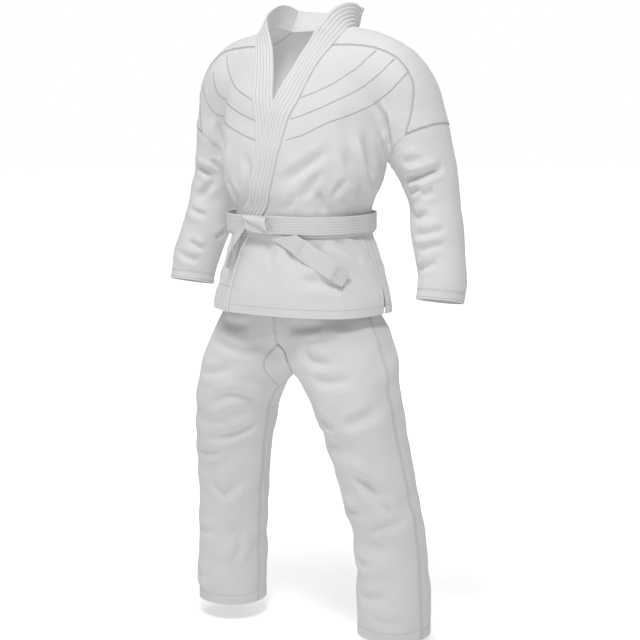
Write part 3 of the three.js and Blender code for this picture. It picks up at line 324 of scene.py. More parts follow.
LAPEL_ROWS = SIDE_ROWS + [1212, 1234, 1256, 1278, 1302, 1340, 1382, 1424, 1463]
CENTRE_ROWS = [1044, 1008, 950, 890, 840]
ARC_ANGLES = [12, 32, 52, 70, 84]
INSEAM_ROWS = [565, 520, 475, 430, 385, 340, 290, 240, 190, 140, 92, TROUSER_HEM_Z]
LEG_SIDE_ROWS = CENTRE_ROWS + [800, 768, 742, 720, 702, 686, 662, 634, 604]
LEG_SIDE_ROWS += [560, 517, 474, 430, 385, 340, 290, 240, 190, 140, 92, TROUSER_HEM_Z]


def rise(low: float, high: float, value: Array) -> Array:
    """A soft step from 0 at low to 1 at high."""
    t = np.clip((np.asarray(value, float) - low) / (high - low), 0, 1)
    return t * t * (3 - 2 * t)


def unit(v: Array) -> Array:
    """Vectors at length one."""
    return v / np.maximum(np.linalg.norm(v, axis=-1, keepdims=True), 1e-12)


def mirror(points: Array) -> Array:
    """The same points on the wearer's other side."""
    return np.asarray(points, float) * np.array([-1.0, 1, 1])


def metres(points: Array) -> Array:
    """Points in the object's frame, in metres."""
    return (points - np.array([0, 0, ORIGIN_Z])) / 1000


class Profile:
    """A table read between its rows as smooth curves of its first column."""

    def __init__(self, rows: list) -> None:
        """Takes the rows, each a key and its values."""
        data = np.array(rows, float)
        self.keys = data[:, 0]
        self.values = data[:, 1:]
        h = np.diff(self.keys)[:, None]
        slope = np.diff(self.values, axis=0) / h
        self.slopes = np.empty_like(self.values)
        self.slopes[0] = slope[0]
        self.slopes[-1] = slope[-1]
        self.slopes[1:-1] = (slope[:-1] * h[1:] + slope[1:] * h[:-1]) / (h[1:] + h[:-1])

    def __call__(self, key: Array) -> Array:
        """Reads the curves.

        Args:
            key: values of the first column.

        Returns:
            One row of the other columns for each key, along a last axis.
        """
        q = np.clip(np.asarray(key, float), self.keys[0], self.keys[-1] - 1e-6)
        i = np.searchsorted(self.keys, q, side="right") - 1
        h = (self.keys[i + 1] - self.keys[i])[..., None]
        t = (q[..., None] - self.keys[i][..., None]) / h
        a = 2 * t**3 - 3 * t**2 + 1
        b = t**3 - 2 * t**2 + t
        c = 3 * t**2 - 2 * t**3
        d = t**3 - t**2
        start = a * self.values[i] + b * h * self.slopes[i]
        return start + c * self.values[i + 1] + d * h * self.slopes[i + 1]


def finer(points: Array, steps: int, wrapped: bool = False) -> Array:
    """Adds points between the rows of a line or grid, on smooth curves.

    Args:
        points: the rows along the first axis.
        steps: how many parts each gap between rows is cut into.
        wrapped: whether the last row joins the first.

    Returns:
        The finer rows.
    """
    points = np.asarray(points, float)
    if wrapped:
        a, b, c, d = (np.roll(points, s, 0) for s in (1, 0, -1, -2))
    else:
        ends = [2 * points[:1] - points[1:2], points, 2 * points[-1:] - points[-2:-1]]
        long = np.concatenate(ends)
        a, b, c, d = long[:-3], long[1:-2], long[2:-1], long[3:]
    t = (np.arange(steps) / steps).reshape((1, steps) + (1,) * (points.ndim - 1))
    a, b, c, d = (x[:, None] for x in (a, b, c, d))
    out = 0.5 * (2 * b + (c - a) * t + (2 * a - 5 * b + 4 * c - d) * t**2 + (3 * b - a - 3 * c + d) * t**3)
    out = out.reshape((-1,) + points.shape[1:])
    return out if wrapped else np.concatenate([out, points[-1:]])


def spline(points: Array, steps: int) -> Array:
    """A smooth line through points, cut into equal steps.

    Args:
        points: the points it runs through, which may carry further values.
        steps: how many steps it has.

    Returns:
        One more point than there are steps.
    """
    dense = finer(points, 24)
    run = np.concatenate([[0], np.cumsum(np.linalg.norm(np.diff(dense[:, :3], axis=0), axis=1))])
    at = np.linspace(0, run[-1], steps + 1)
    return np.stack([np.interp(at, run, column) for column in dense.T], axis=1)


class Form:
    """The shape that the cloth lies on. The field is negative inside it."""

    def field(self, p: Array) -> Array:
        """How far points lie outside the form."""
        raise NotImplementedError

    def normal(self, p: Array) -> Array:
        """Directions square to the form at points."""
        slopes = []
        for k in range(3):
            step = np.zeros(3)
            step[k] = 0.6
            slopes.append(self.field(p + step) - self.field(p - step))
        return unit(np.stack(slopes, axis=-1))

    def cast(self, p: Array, direction: Array, rounds: int = 8) -> Array:
        """Moves points along a direction onto the form.

        Args:
            p: the points.
            direction: one direction for each point.
            rounds: how many times each point is corrected.

        Returns:
            The moved points.
        """
        for _ in range(rounds):
            value = self.field(p)
            slope = (self.field(p + direction * 0.5) - value) / 0.5
            p = p - direction * np.clip(value / np.maximum(slope, 0.35), -14, 14)[..., None]
        return p

    def settle(self, p: Array, rounds: int = 3) -> Array:
        """Moves points the short way onto the form."""
        p = np.asarray(p, float)
        for _ in range(rounds):
            p = self.cast(p, self.normal(p), 3)
        return p

    def leave(self, start: Array, direction: Array) -> Array:
        """Goes from inner points outwards and stops at the form.

        Args:
            start: points inside the form.
            direction: one unit direction for each point.

        Returns:
            The points where the form ends.
        """
        start, direction = np.broadcast_arrays(np.asarray(start, float), np.asarray(direction, float))
        t = np.zeros(start.shape[:-1])
        inside = self.field(start) < 0
        while inside.any():
            t = np.where(inside, t + 3, t)
            inside = inside & (self.field(start + direction * t[..., None]) < 0)
        low = t - 3
        high = t
        for _ in range(16):
            middle = (low + high) / 2
            within = self.field(start + direction * middle[..., None]) < 0
            low = np.where(within, middle, low)
            high = np.where(within, high, middle)
        return start + direction * high[..., None]

    def patch(self, left: Array, right: Array, bottom: Array, top: Array) -> Array:
        """Lays a grid on the form between four seams.

        Args:
            left: seam at the first column, from the bottom up.
            right: seam at the last column, from the bottom up.
            bottom: seam at the first row, from left to right.
            top: seam at the last row, from left to right.

        Returns:
            The grid of points, rows by columns.
        """
        rows, columns = len(left) - 1, len(bottom) - 1
        u = (np.arange(columns + 1) / columns)[None, :, None]
        v = (np.arange(rows + 1) / rows)[:, None, None]
        lines = [left[:, None], right[:, None], bottom[None], top[None]]
        leans = [self.normal(line) for line in lines]
        grid = lines[0] * (1 - u) + lines[1] * u + lines[2] * (1 - v) + lines[3] * v
        low = bottom[0] * (1 - u) + bottom[-1] * u
        high = top[0] * (1 - u) + top[-1] * u
        grid = grid - (low * (1 - v) + high * v)
        lean = leans[0] * (1 - u) + leans[1] * u + leans[2] * (1 - v) + leans[3] * v
        inner = (slice(1, -1), slice(1, -1))
        grid[inner] = self.cast(grid[inner], unit(lean)[inner], 12)
        grid[:, 0], grid[:, -1], grid[0], grid[-1] = left, right, bottom, top
        for _ in range(14):
            moved = 0.25 * (grid[1:-1, :-2] + grid[1:-1, 2:] + grid[:-2, 1:-1] + grid[2:, 1:-1])
            grid[inner] = self.cast(moved, self.normal(moved), 5)
        return grid

    def fine_line(self, line: Array, steps: int = FINE) -> Array:
        """A seam with points added between its own, on the form."""
        return self.settle(finer(line, steps), 1)

    def fine_patch(self, coarse: Array, edges: list, steps: tuple = (FINE, FINE)) -> Array:
        """Adds points to a grid and fits it to its fine seams.

        Args:
            coarse: the grid.
            edges: the fine seams left, right, bottom and top.
            steps: how many parts each row gap and column gap is cut into.

        Returns:
            The fine grid, on the form.
        """
        grid = finer(coarse, steps[0])
        grid = finer(grid.swapaxes(0, 1), steps[1]).swapaxes(0, 1)
        u = np.linspace(0, 1, grid.shape[1])[None, :, None]
        v = np.linspace(0, 1, grid.shape[0])[:, None, None]
        left, right, bottom, top = edges
        dl, dr = (left - grid[:, 0])[:, None], (right - grid[:, -1])[:, None]
        db, dt = (bottom - grid[0])[None], (top - grid[-1])[None]
        below = db[:, :1] * (1 - u) + db[:, -1:] * u
        above = dt[:, :1] * (1 - u) + dt[:, -1:] * u
        corners = below * (1 - v) + above * v
        grid = grid + dl * (1 - u) + dr * u + db * (1 - v) + dt * v - corners
        inner = (slice(1, -1), slice(1, -1))
        grid[inner] = self.cast(grid[inner], self.normal(grid[inner]), 2)
        return grid


def section_field(across: Array, depth: Array, rows: Array) -> Array:
    """How far points lie outside a rounded section.

    Args:
        across: distance from the middle, sideways.
        depth: distance from the middle, to the back.
        rows: half width, front, back and squareness of the section, on the last axis.

    Returns:
        The distances, negative inside.
    """
    half = np.where(depth < 0, rows[..., 1], rows[..., 2])
    power = rows[..., 3]
    ratio = (np.abs(across) / rows[..., 0]) ** power + (np.abs(depth) / half) ** power
    return (ratio ** (1 / power) - 1) * np.minimum(rows[..., 0], half)


def joined(a: Array, b: Array, blend: float) -> Array:
    """Runs one field into another over a soft corner."""
    h = np.clip(0.5 + 0.5 * (b - a) / blend, 0, 1)
    return b * (1 - h) + a * h - blend * h * (1 - h)


class JacketForm(Form):
    """Body and two arms, run together at the shoulders."""

    def __init__(self) -> None:
        """Reads the tables of body and arm."""
        self.torso = Profile(TORSO)
        self.arm = spline(np.array(ARM, float), 40)

    def field(self, p: Array) -> Array:
        """How far points lie outside body and arms."""
        shape = self.torso(p[..., 2])
        rows = np.stack([shape[..., 0], shape[..., 1], shape[..., 2], shape[..., 4]], axis=-1)
        body = section_field(p[..., 0], p[..., 1] - shape[..., 3], rows)
        q = np.abs(p[..., 0]) > 50
        out = np.array(body, float)
        if q.any():
            out[q] = joined(body[q], self.arm_field(p[q]), UNION_ARM)
        return out

    def arm_field(self, p: Array) -> Array:
        """How far points lie outside the nearer sleeve."""
        q = np.array(p)
        q[:, 0] = np.abs(q[:, 0])
        a, b = self.arm[:-1], self.arm[1:]
        step = b[:, :3] - a[:, :3]
        from_start = q[:, None, :] - a[None, :, :3]
        t = np.clip(np.einsum("nsk,sk->ns", from_start, step) / np.sum(step * step, axis=1), 0, 1)
        gap = from_start - t[..., None] * step
        far = np.sqrt(np.einsum("nsk,nsk->ns", gap, gap))
        return np.min(far - a[:, 3] - (b[:, 3] - a[:, 3]) * t, axis=1)

    def front_point(self, x: Array, z: Array) -> Array:
        """Points on the front at places across and heights."""
        x, z = np.asarray(x, float), np.asarray(z, float)
        start = np.stack([x, self.torso(z)[..., 3], z], axis=-1)
        return self.leave(start, np.array([0.0, -1, 0]))


class TrouserForm(Form):
    """Two legs that run together above the crotch."""

    def __init__(self) -> None:
        """Reads the table of the leg."""
        self.leg = Profile(LEG)

    def field(self, p: Array) -> Array:
        """How far points lie outside the legs."""
        shape = self.leg(p[..., 2])
        rows = shape[..., [1, 3, 4, 5]]
        sides = []
        for side in (1, -1):
            sides.append(section_field(p[..., 0] * side - shape[..., 0], p[..., 1] - shape[..., 2], rows))
        return joined(sides[0], sides[1], UNION_LEG)


JACKET = JacketForm()
TROUSERS = TrouserForm()
LAPEL_AT = Profile(LAPEL_SEAM)
LEAN_AT = Profile(BAND_LEAN)


def overlap_lift(p: Array) -> Array:
    """How far the upper front stands off the body where the under front lies beneath it."""
    under_edge = -LAPEL_AT(p[..., 2])[..., 0] + LAPEL_WIDTH
    sideways = 1 - rise(under_edge + 24, under_edge + 78, p[..., 0])
    lift = OVERLAP_LIFT * sideways * (1 - rise(1345, 1425, p[..., 2]))
    return np.where(p[..., 1] > JACKET.torso(p[..., 2])[..., 3], 0, lift)


@dataclass(frozen=True)
class Crease:
    """A soft trough in the cloth along a line, with a low swell on each side."""

    line: Array
    width: float
    depth: float
    swell: float

    def height(self, p: Array) -> Array:
        """How far the crease moves points of the form outwards.

        Args:
            p: points on the form.

        Returns:
            A height for each point, negative in the trough.
        """
        reach = self.width * 4
        near = np.all((p > self.line.min(0) - reach) & (p < self.line.max(0) + reach), axis=1)
        out = np.zeros(len(p))
        if not near.any():
            return out
        q = p[near]
        a, step = self.line[:-1], np.diff(self.line, axis=0)
        gap = q[:, None] - a[None]
        t = np.clip(np.einsum("nsk,sk->ns", gap, step) / np.sum(step * step, axis=1), 0, 1)
        far = np.linalg.norm(gap - t[..., None] * step, axis=2)
        best = far.argmin(1)
        pick = np.arange(len(q))
        place = (best + t[pick, best]) / len(step)
        d = far[pick, best]
        fade = rise(0, 0.3, place) * rise(0, 0.3, 1 - place)
        if self.swell == 0:
            fade = 0.35 + 0.65 * fade
        sides = self.swell * np.exp(-(((d - 1.9 * self.width) / (1.1 * self.width)) ** 2))
        out[near] = self.depth * fade * (np.exp(-((d / self.width) ** 2)) - sides)
        return out


class Relief:
    """All folds, creases and slack of one garment."""

    def __init__(self, form: Form, tables: tuple, slack: float, dip: float, seed: int) -> None:
        """Lays the folds and creases on the form.

        Args:
            form: the shape that the cloth lies on.
            tables: folds of two points and creases of three, each with a width and a depth.
            slack: height of the gentle swell all over, in millimetres.
            dip: how deep the cloth sinks at a seam.
            seed: which swell it is.
        """
        folds, creases = tables
        self.dip = dip
        self.creases = []
        for row in folds:
            line = form.settle(spline(np.array(row[:6], float).reshape(2, 3), 6))
            self.creases.append(Crease(line, row[6], row[7], 0.0))
        for row in creases:
            line = form.settle(spline(np.array(row[:9], float).reshape(3, 3), 8))
            self.creases.append(Crease(line, row[9], row[10] * 1.9, 0.5))
        self.slack = slack
        rng = np.random.default_rng(seed)
        self.waves = unit(rng.normal(size=(9, 3))) * (2 * np.pi / rng.uniform(60, 150, 9))[:, None]
        self.phases = rng.uniform(0, 6.28, 9)
        self.ripples = unit(rng.normal(size=(5, 3))) * (2 * np.pi / rng.uniform(14, 24, 5))[:, None]

    def height(self, p: Array, seam: Array = None) -> Array:
        """How far the cloth stands off the form.

        Args:
            p: points on the form.
            seam: distance of each point from the nearest seam of its piece.

        Returns:
            A height for each point.
        """
        shape = p.shape[:-1]
        q = p.reshape(-1, 3)
        out = sum(crease.height(q) for crease in self.creases)
        out = out + self.slack / 3 * np.sin(q @ self.waves.T + self.phases).sum(1)
        if seam is not None:
            d = seam.reshape(-1)
            out = out - self.dip * np.exp(-((d / 4) ** 2))
            pucker = np.sin(q @ self.ripples.T).sum(1) / 5
            out = out + 1.5 * pucker * np.exp(-((d - 9) ** 2) / 60)
        return out.reshape(shape)


class Edge(Enum):
    """The four sides of a piece's grid."""

    LEFT = 0
    RIGHT = 1
    BOTTOM = 2
    TOP = 3


def edge_distance(grid: Array, edges: list) -> Array:
    """How far each point of a grid lies from the nearest of some edges, along rows and columns.

    Args:
        grid: rows by columns of points.
        edges: the edges that count.

    Returns:
        The distances.
    """
    best = np.full(grid.shape[:2], 999.0)
    across = np.linalg.norm(np.diff(grid, axis=1), axis=2)
    run = np.concatenate([np.zeros((len(grid), 1)), np.cumsum(across, axis=1)], axis=1)
    up = np.linalg.norm(np.diff(grid, axis=0), axis=2)
    climb = np.concatenate([np.zeros((1, grid.shape[1])), np.cumsum(up, axis=0)])
    if Edge.LEFT in edges:
        best = np.minimum(best, run)
    if Edge.RIGHT in edges:
        best = np.minimum(best, run[:, -1:] - run)
    if Edge.BOTTOM in edges:
        best = np.minimum(best, climb)
    if Edge.TOP in edges:
        best = np.minimum(best, climb[-1:] - climb)
    return best


@dataclass
class ClothPiece:
    """One piece of cloth as a closed thin shell on two grids of points."""

    name: str
    outer: Array
    inner: Array
    wrapped: bool
    # Distance from the nearest seam, which the material turns into painted shade near the seams.
    seam: Array

    def build(self) -> bpy.types.Object:
        """Makes the mesh with its own map in metres and its distance from the seams.

        Returns:
            The object, linked to the scene.
        """
        rows, columns = self.outer.shape[:2]
        last = columns if self.wrapped else columns - 1
        j, i = np.meshgrid(np.arange(rows - 1), np.arange(last), indexing="ij")
        j, i = j.ravel(), i.ravel()
        nxt = (i + 1) % columns
        corners = [j * columns + i, j * columns + nxt, (j + 1) * columns + nxt, (j + 1) * columns + i]
        front = np.stack(corners, axis=1)
        back = front[:, ::-1] + rows * columns
        places = ((j, i), (j, i + 1), (j + 1, i + 1), (j + 1, i))
        map_front = np.stack([self.map_at(*place) for place in places], axis=1)
        quads, maps = [front, back], [map_front, map_front[:, ::-1]]
        count = rows * columns
        for row, flip in ((0, True), (rows - 1, False)):
            k = np.arange(last)
            near, far = row * columns + k, row * columns + (k + 1) % columns
            rim = np.stack([near, far, far + count, near + count], axis=1)
            strip = [self.map_at(np.full(last, row), k + s) for s in (0, 1, 1, 0)]
            self.add_rim(quads, maps, rim, np.stack(strip, axis=1), flip)
        if not self.wrapped:
            for column, flip in ((0, False), (columns - 1, True)):
                k = np.arange(rows - 1)
                near, far = k * columns + column, (k + 1) * columns + column
                rim = np.stack([near, far, far + count, near + count], axis=1)
                strip = [self.map_at(k + s, np.full(rows - 1, column)) for s in (0, 1, 1, 0)]
                self.add_rim(quads, maps, rim, np.stack(strip, axis=1), flip)
        faces = np.concatenate(quads)
        uv = np.concatenate(maps)
        points = metres(np.concatenate([self.outer.reshape(-1, 3), self.inner.reshape(-1, 3)]))
        a, b, c, d = (points[faces[:, k]] for k in range(4))
        volume = np.einsum("nk,nk->n", a, np.cross(b, c)).sum()
        volume += np.einsum("nk,nk->n", a, np.cross(c, d)).sum()
        if volume < 0:
            faces, uv = faces[:, ::-1], uv[:, ::-1]
        seam = np.concatenate([self.seam.ravel(), self.seam.ravel()])
        return mesh_object(self.name, points, faces, uv, seam)

    @staticmethod
    def add_rim(quads: list, maps: list, rim: Array, strip: Array, flip: bool) -> None:
        """Adds a row of faces that closes an edge."""
        quads.append(rim if flip is False else rim[:, ::-1])
        maps.append(strip if flip is False else strip[:, ::-1])

    def map_at(self, j: Array, i: Array) -> Array:
        """The cloth's own map at grid places, in metres."""
        if not hasattr(self, "spans"):
            ring = self.outer if not self.wrapped else np.concatenate([self.outer, self.outer[:, :1]], axis=1)
            across = np.linalg.norm(np.diff(ring, axis=1), axis=2)
            run = np.concatenate([np.zeros((len(ring), 1)), np.cumsum(across, axis=1)], axis=1)
            run = run - run[:, run.shape[1] // 2][:, None]
            up = np.linalg.norm(np.diff(ring, axis=0), axis=2).mean(axis=1)
            climb = np.concatenate([[0], np.cumsum(up)])
            self.spans = np.stack([run, np.broadcast_to(climb[:, None], run.shape)], axis=-1) / 1000
        return self.spans[j, i]

    def area(self) -> float:
        """Area of one face of the cloth, in square metres."""
        ring = self.outer if not self.wrapped else np.concatenate([self.outer, self.outer[:, :1]], axis=1)
        a, b, c, d = ring[:-1, :-1], ring[:-1, 1:], ring[1:, 1:], ring[1:, :-1]
        first = np.linalg.norm(np.cross(b - a, c - a), axis=2).sum()
        second = np.linalg.norm(np.cross(c - a, d - a), axis=2).sum()
        return float(first + second) / 2e6


def mesh_object(
    name: str, points: Array, faces: Array, uv: Array = None, seam: Array = None
) -> bpy.types.Object:
    """Makes an object of points and faces.

    Args:
        name: the piece's name.
        points: its points, in metres.
        faces: its faces, all with the same number of corners.
        uv: a place on the cloth's map for each corner of each face.
        seam: a distance from the nearest seam for each point.

    Returns:
        The object, smooth but for its rims.
    """
    mesh = bpy.data.meshes.new(name)
    mesh.from_pydata(points.tolist(), [], faces.tolist())
    if uv is not None:
        layer = mesh.uv_layers.new(name="cloth")
        layer.data.foreach_set("uv", uv.reshape(-1).astype(np.float32))
    if seam is not None:
        attribute = mesh.attributes.new("seam", "FLOAT", "POINT")
        attribute.data.foreach_set("value", seam.astype(np.float32))
    mesh.shade_smooth()
    mesh.set_sharp_from_angle(angle=math.radians(52))
    obj = bpy.data.objects.new(name, mesh)
    bpy.context.scene.collection.objects.link(obj)
    return obj


def to_linear(code: str) -> tuple:
    """Turns an sRGB hex colour to linear red, green, blue and alpha."""
    parts = [int(code[k : k + 2], 16) / 255 for k in (1, 3, 5)]
    return tuple(v / 12.92 if v <= 0.04045 else ((v + 0.055) / 1.055) ** 2.4 for v in parts) + (1.0,)


def add_node(
    tree: bpy.types.NodeTree, kind: str, settings: dict = None, inputs: dict = None
) -> bpy.types.Node:
    """Adds a node with its settings and links.

    Args:
        tree: the node tree.
        kind: the node's type.
        settings: properties to set on it.
        inputs: a value or another node's output for each input, by name or place.

    Returns:
        The node.
    """
    node = tree.nodes.new(kind)
    for key, value in (settings or {}).items():
        setattr(node, key, value)
    for key, value in (inputs or {}).items():
        if isinstance(value, bpy.types.NodeSocket):
            tree.links.new(value, node.inputs[key])
        else:
            node.inputs[key].default_value = value
    return node


class Weave(Enum):
    """How the threads of a cloth lie."""

    PEARL = "pearl"
    TWILL = "twill"
    PLAIN = "plain"


@dataclass(frozen=True)
class CottonFinish:
    """Bleached cotton, woven and sewn."""

    name: str
    colour: str
    shade: str
    weave: Weave
    pitch_mm: float
    relief_mm: float
    roughness: float
    crumple: float

    def material(self) -> bpy.types.Material:
        """Makes the cloth's material.

        Returns:
            The material, which reads the piece's own map and its distance from the seams, and darkens its
            colour near the seams with painted shade of the seam grooves.
        """
        made = bpy.data.materials.new(self.name)
        made.use_nodes = True
        tree = made.node_tree
        tree.nodes.clear()
        output = add_node(tree, "ShaderNodeOutputMaterial")
        own_map = add_node(tree, "ShaderNodeUVMap", {"uv_map": "cloth"}).outputs["UV"]
        place = add_node(tree, "ShaderNodeTexCoord").outputs["Object"]
        # Blender's wave pattern repeats every 0.314 over its scale.
        turns = 0.31416 / (self.pitch_mm / 1000)
        angle = {Weave.PEARL: 0.0, Weave.TWILL: math.radians(45), Weave.PLAIN: 0.0}[self.weave]
        turned = add_node(tree, "ShaderNodeMapping", {}, {"Vector": own_map, "Rotation": (0, 0, angle)})
        waves = []
        cross = {Weave.PEARL: 0.6, Weave.TWILL: 0.25, Weave.PLAIN: 1}[self.weave]
        for direction, ratio in (("X", 1.0), ("Y", cross)):
            settings = {"wave_type": "BANDS", "bands_direction": direction}
            inputs = {"Vector": turned.outputs[0], "Scale": turns * ratio, "Distortion": 1.6, "Detail": 1.0}
            waves.append(add_node(tree, "ShaderNodeTexWave", settings, inputs).outputs["Fac"])
        grain = add_node(tree, "ShaderNodeMath", {"operation": "MULTIPLY"}, {0: waves[0], 1: waves[1]})
        slack = add_node(tree, "ShaderNodeTexNoise", {}, {"Vector": place, "Scale": 26.0, "Detail": 3.0})
        patch = add_node(tree, "ShaderNodeTexNoise", {}, {"Vector": place, "Scale": 7.0, "Detail": 4.0})
        soft = add_node(
            tree,
            "ShaderNodeBump",
            {},
            {"Strength": self.crumple, "Distance": 0.004, "Height": slack.outputs[0]},
        )
        bump = add_node(
            tree,
            "ShaderNodeBump",
            {},
            {
                "Strength": 0.4,
                "Distance": self.relief_mm / 1000,
                "Height": grain.outputs[0],
                "Normal": soft.outputs[0],
            },
        )
        tone = add_node(
            tree,
            "ShaderNodeMix",
            {"data_type": "RGBA"},
            {0: patch.outputs[0], 6: to_linear(self.colour), 7: to_linear(self.shade)},
        )
        # Painted shade: the colour is darkened within a few millimetres of every seam and edge, standing in
        # for the shadow in the seam grooves.
        seam = add_node(tree, "ShaderNodeAttribute", {"attribute_name": "seam"})
        near = add_node(
            tree,
            "ShaderNodeMapRange",
            {},
            {"Value": seam.outputs["Fac"], "From Min": 0.3, "From Max": 3.5, "To Min": 0.84, "To Max": 1.0},
        )
        painted_seam_shade = add_node(
            tree,
            "ShaderNodeMix",
            {"data_type": "RGBA", "blend_type": "MULTIPLY"},
            {0: 1.0, 6: tone.outputs[2], 7: near.outputs[0]},
        )
        shader = add_node(
            tree,
            "ShaderNodeBsdfPrincipled",
            {},
            {
                "Base Color": painted_seam_shade.outputs[2],
                "Roughness": self.roughness,
                "Sheen Weight": 0.12,
                "Sheen Roughness": 0.5,
                "Specular IOR Level": 0.25,
                "Normal": bump.outputs[0],
            },
        )
        tree.links.new(shader.outputs[0], output.inputs[0])
        return made


# Pearl weave has rice-grain bumps about 2 mm wide; drawn a little coarser so that it shows.
JACKET_CLOTH = CottonFinish(
    "bleached_pearl_weave_cotton", "#ededed", "#e2e2e2", Weave.PEARL, 2.8, 0.7, 0.93, 0.28
)
# Cotton drill has a fine slanting rib, drawn at 2 mm.
TROUSER_CLOTH = CottonFinish("bleached_cotton_drill", "#ececec", "#e1e1e1", Weave.TWILL, 2.0, 0.3, 0.9, 0.3)
# The collar's cover is plain-woven and sewn down hard, so it is smoother.
COLLAR_CLOTH = CottonFinish("sewn_cotton_collar", "#eeeeee", "#e5e5e5", Weave.PLAIN, 1.6, 0.25, 0.9, 0.12)
# Belt cotton is dense and has a slight gloss.
BELT_CLOTH = CottonFinish("dense_belt_cotton", "#e9e9e9", "#dddddd", Weave.PLAIN, 1.6, 0.25, 0.82, 0.12)
BAR_CLOTH = CottonFinish("smooth_bar_cotton", "#e6e6e6", "#dcdcdc", Weave.PLAIN, 1.4, 0.2, 0.8, 0.1)


@dataclass(frozen=True)
class ThreadFinish:
    """Spun polyester sewing thread, slightly shiny."""

    name: str
    colour: str

    def material(self) -> bpy.types.Material:
        """Makes the thread's material, with the twist of its strands."""
        made = bpy.data.materials.new(self.name)
        made.use_nodes = True
        tree = made.node_tree
        shader = tree.nodes["Principled BSDF"]
        place = add_node(tree, "ShaderNodeTexCoord").outputs["Object"]
        twist = add_node(tree, "ShaderNodeTexNoise", {}, {"Vector": place, "Scale": 900.0, "Detail": 2.0})
        dark = tuple(0.78 * v for v in to_linear(self.colour)[:3]) + (1.0,)
        tone = add_node(
            tree,
            "ShaderNodeMix",
            {"data_type": "RGBA"},
            {0: twist.outputs[0], 6: to_linear(self.colour), 7: dark},
        )
        tree.links.new(tone.outputs[2], shader.inputs["Base Color"])
        shader.inputs["Roughness"].default_value = 0.6
        return made


SEWING_THREAD = ThreadFinish("spun_sewing_thread", "#bdbdbb")
ARC_THREAD = ThreadFinish("grey_sewing_thread", "#a2a2a0")


@dataclass
class Stitching:
    """Rows of small raised stitches, each on the cloth beneath it."""

    name: str
    finish: ThreadFinish
    pitch: float = 4.2
    length: float = 3.3
    width: float = 1.2
    height: float = 0.7

    def __post_init__(self) -> None:
        """Starts with no rows."""
        self.parts: list = []

    def add_row(self, line: Array, normals: Array) -> None:
        """Places stitches along a line.

        Args:
            line: points on the cloth's face.
            normals: the way the cloth faces at each.
        """
        run = np.concatenate([[0], np.cumsum(np.linalg.norm(np.diff(line, axis=0), axis=1))])
        count = int(run[-1] / self.pitch)
        if count < 1:
            return
        at = (np.arange(count) + 0.5) * run[-1] / count
        centre = np.stack([np.interp(at, run, line[:, k]) for k in range(3)], axis=1)
        ahead = np.stack([np.interp(at + 1, run, line[:, k]) for k in range(3)], axis=1)
        behind = np.stack([np.interp(at - 1, run, line[:, k]) for k in range(3)], axis=1)
        out = unit(np.stack([np.interp(at, run, normals[:, k]) for k in range(3)], axis=1))
        along = unit(ahead - behind)
        out = unit(out - along * np.sum(out * along, axis=1)[:, None])
        self.parts.append((centre, along, out, np.cross(out, along)))

    def build(self) -> bpy.types.Object:
        """Makes one mesh of all stitches.

        Returns:
            The object.
        """
        centre, along, out, across = (np.concatenate([part[k] for part in self.parts]) for k in range(4))
        half, side = self.length / 2, self.width / 2
        shape = [(-half, 0, -0.1)]
        for x in (-half * 0.62, half * 0.62):
            shape += [(x, -side, 0), (x, 0, self.height), (x, side, 0), (x, 0, -0.35)]
        shape.append((half, 0, -0.1))
        shape = np.array(shape)
        points = centre[:, None] + along[:, None] * shape[:, 0, None] + across[:, None] * shape[:, 1, None]
        points = points + out[:, None] * shape[:, 2, None]
        tris = []
        for k in range(4):
            n = (k + 1) % 4
            tris += [(0, 1 + n, 1 + k), (1 + k, 1 + n, 5 + n), (1 + k, 5 + n, 5 + k), (9, 5 + k, 5 + n)]
        faces = np.array(tris)[None] + (np.arange(len(centre)) * len(shape))[:, None, None]
        a, b, c = (shape[np.array(tris)[:, k]] for k in range(3))
        volume = np.einsum("nk,nk->n", a, np.cross(b, c)).sum()
        faces = faces.reshape(-1, 3) if volume > 0 else faces.reshape(-1, 3)[:, ::-1]
        obj = mesh_object(self.name, metres(points.reshape(-1, 3)), faces)
        obj.data.materials.append(self.finish.material())
        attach(obj, "root")
        log.info("%s: %d stitches", self.name, len(centre))
        return obj


def line_in_grid(grid: Array, edge: Edge, distance: float) -> Array:
    """A line that runs beside an edge of a grid.

    Args:
        grid: rows by columns of points.
        edge: the edge.
        distance: how far from it the line runs.

    Returns:
        The line's points.
    """
    if edge is Edge.LEFT:
        lanes = grid
    elif edge is Edge.RIGHT:
        lanes = grid[:, ::-1]
    elif edge is Edge.BOTTOM:
        lanes = grid.swapaxes(0, 1)
    else:
        lanes = grid[::-1].swapaxes(0, 1)
    out = []
    for lane in lanes:
        run = np.concatenate([[0], np.cumsum(np.linalg.norm(np.diff(lane, axis=0), axis=1))])
        out.append([np.interp(distance, run, lane[:, k]) for k in range(3)])
    return np.array(out)


def dress(
    piece: ClothPiece, nodes: list, finish: CottonFinish, flat: tuple
) -> bpy.types.Object:
    """Args:
        piece: the shell.
        nodes: the solids it stands for.
        finish: its cloth.
        flat: width and length of its cut, in metres.

    Returns:
        The finished object.
    """
    obj = piece.build()
    if finish.name not in bpy.data.materials:
        finish.material()
    obj.data.materials.append(bpy.data.materials[finish.name])
    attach(obj, "root")
    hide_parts(*nodes)
    faces = len(obj.data.polygons)
    log.info("%s: %d faces, %.4f m2 of %.4f", piece.name, faces, piece.area(), flat[0] * flat[1])
    return obj


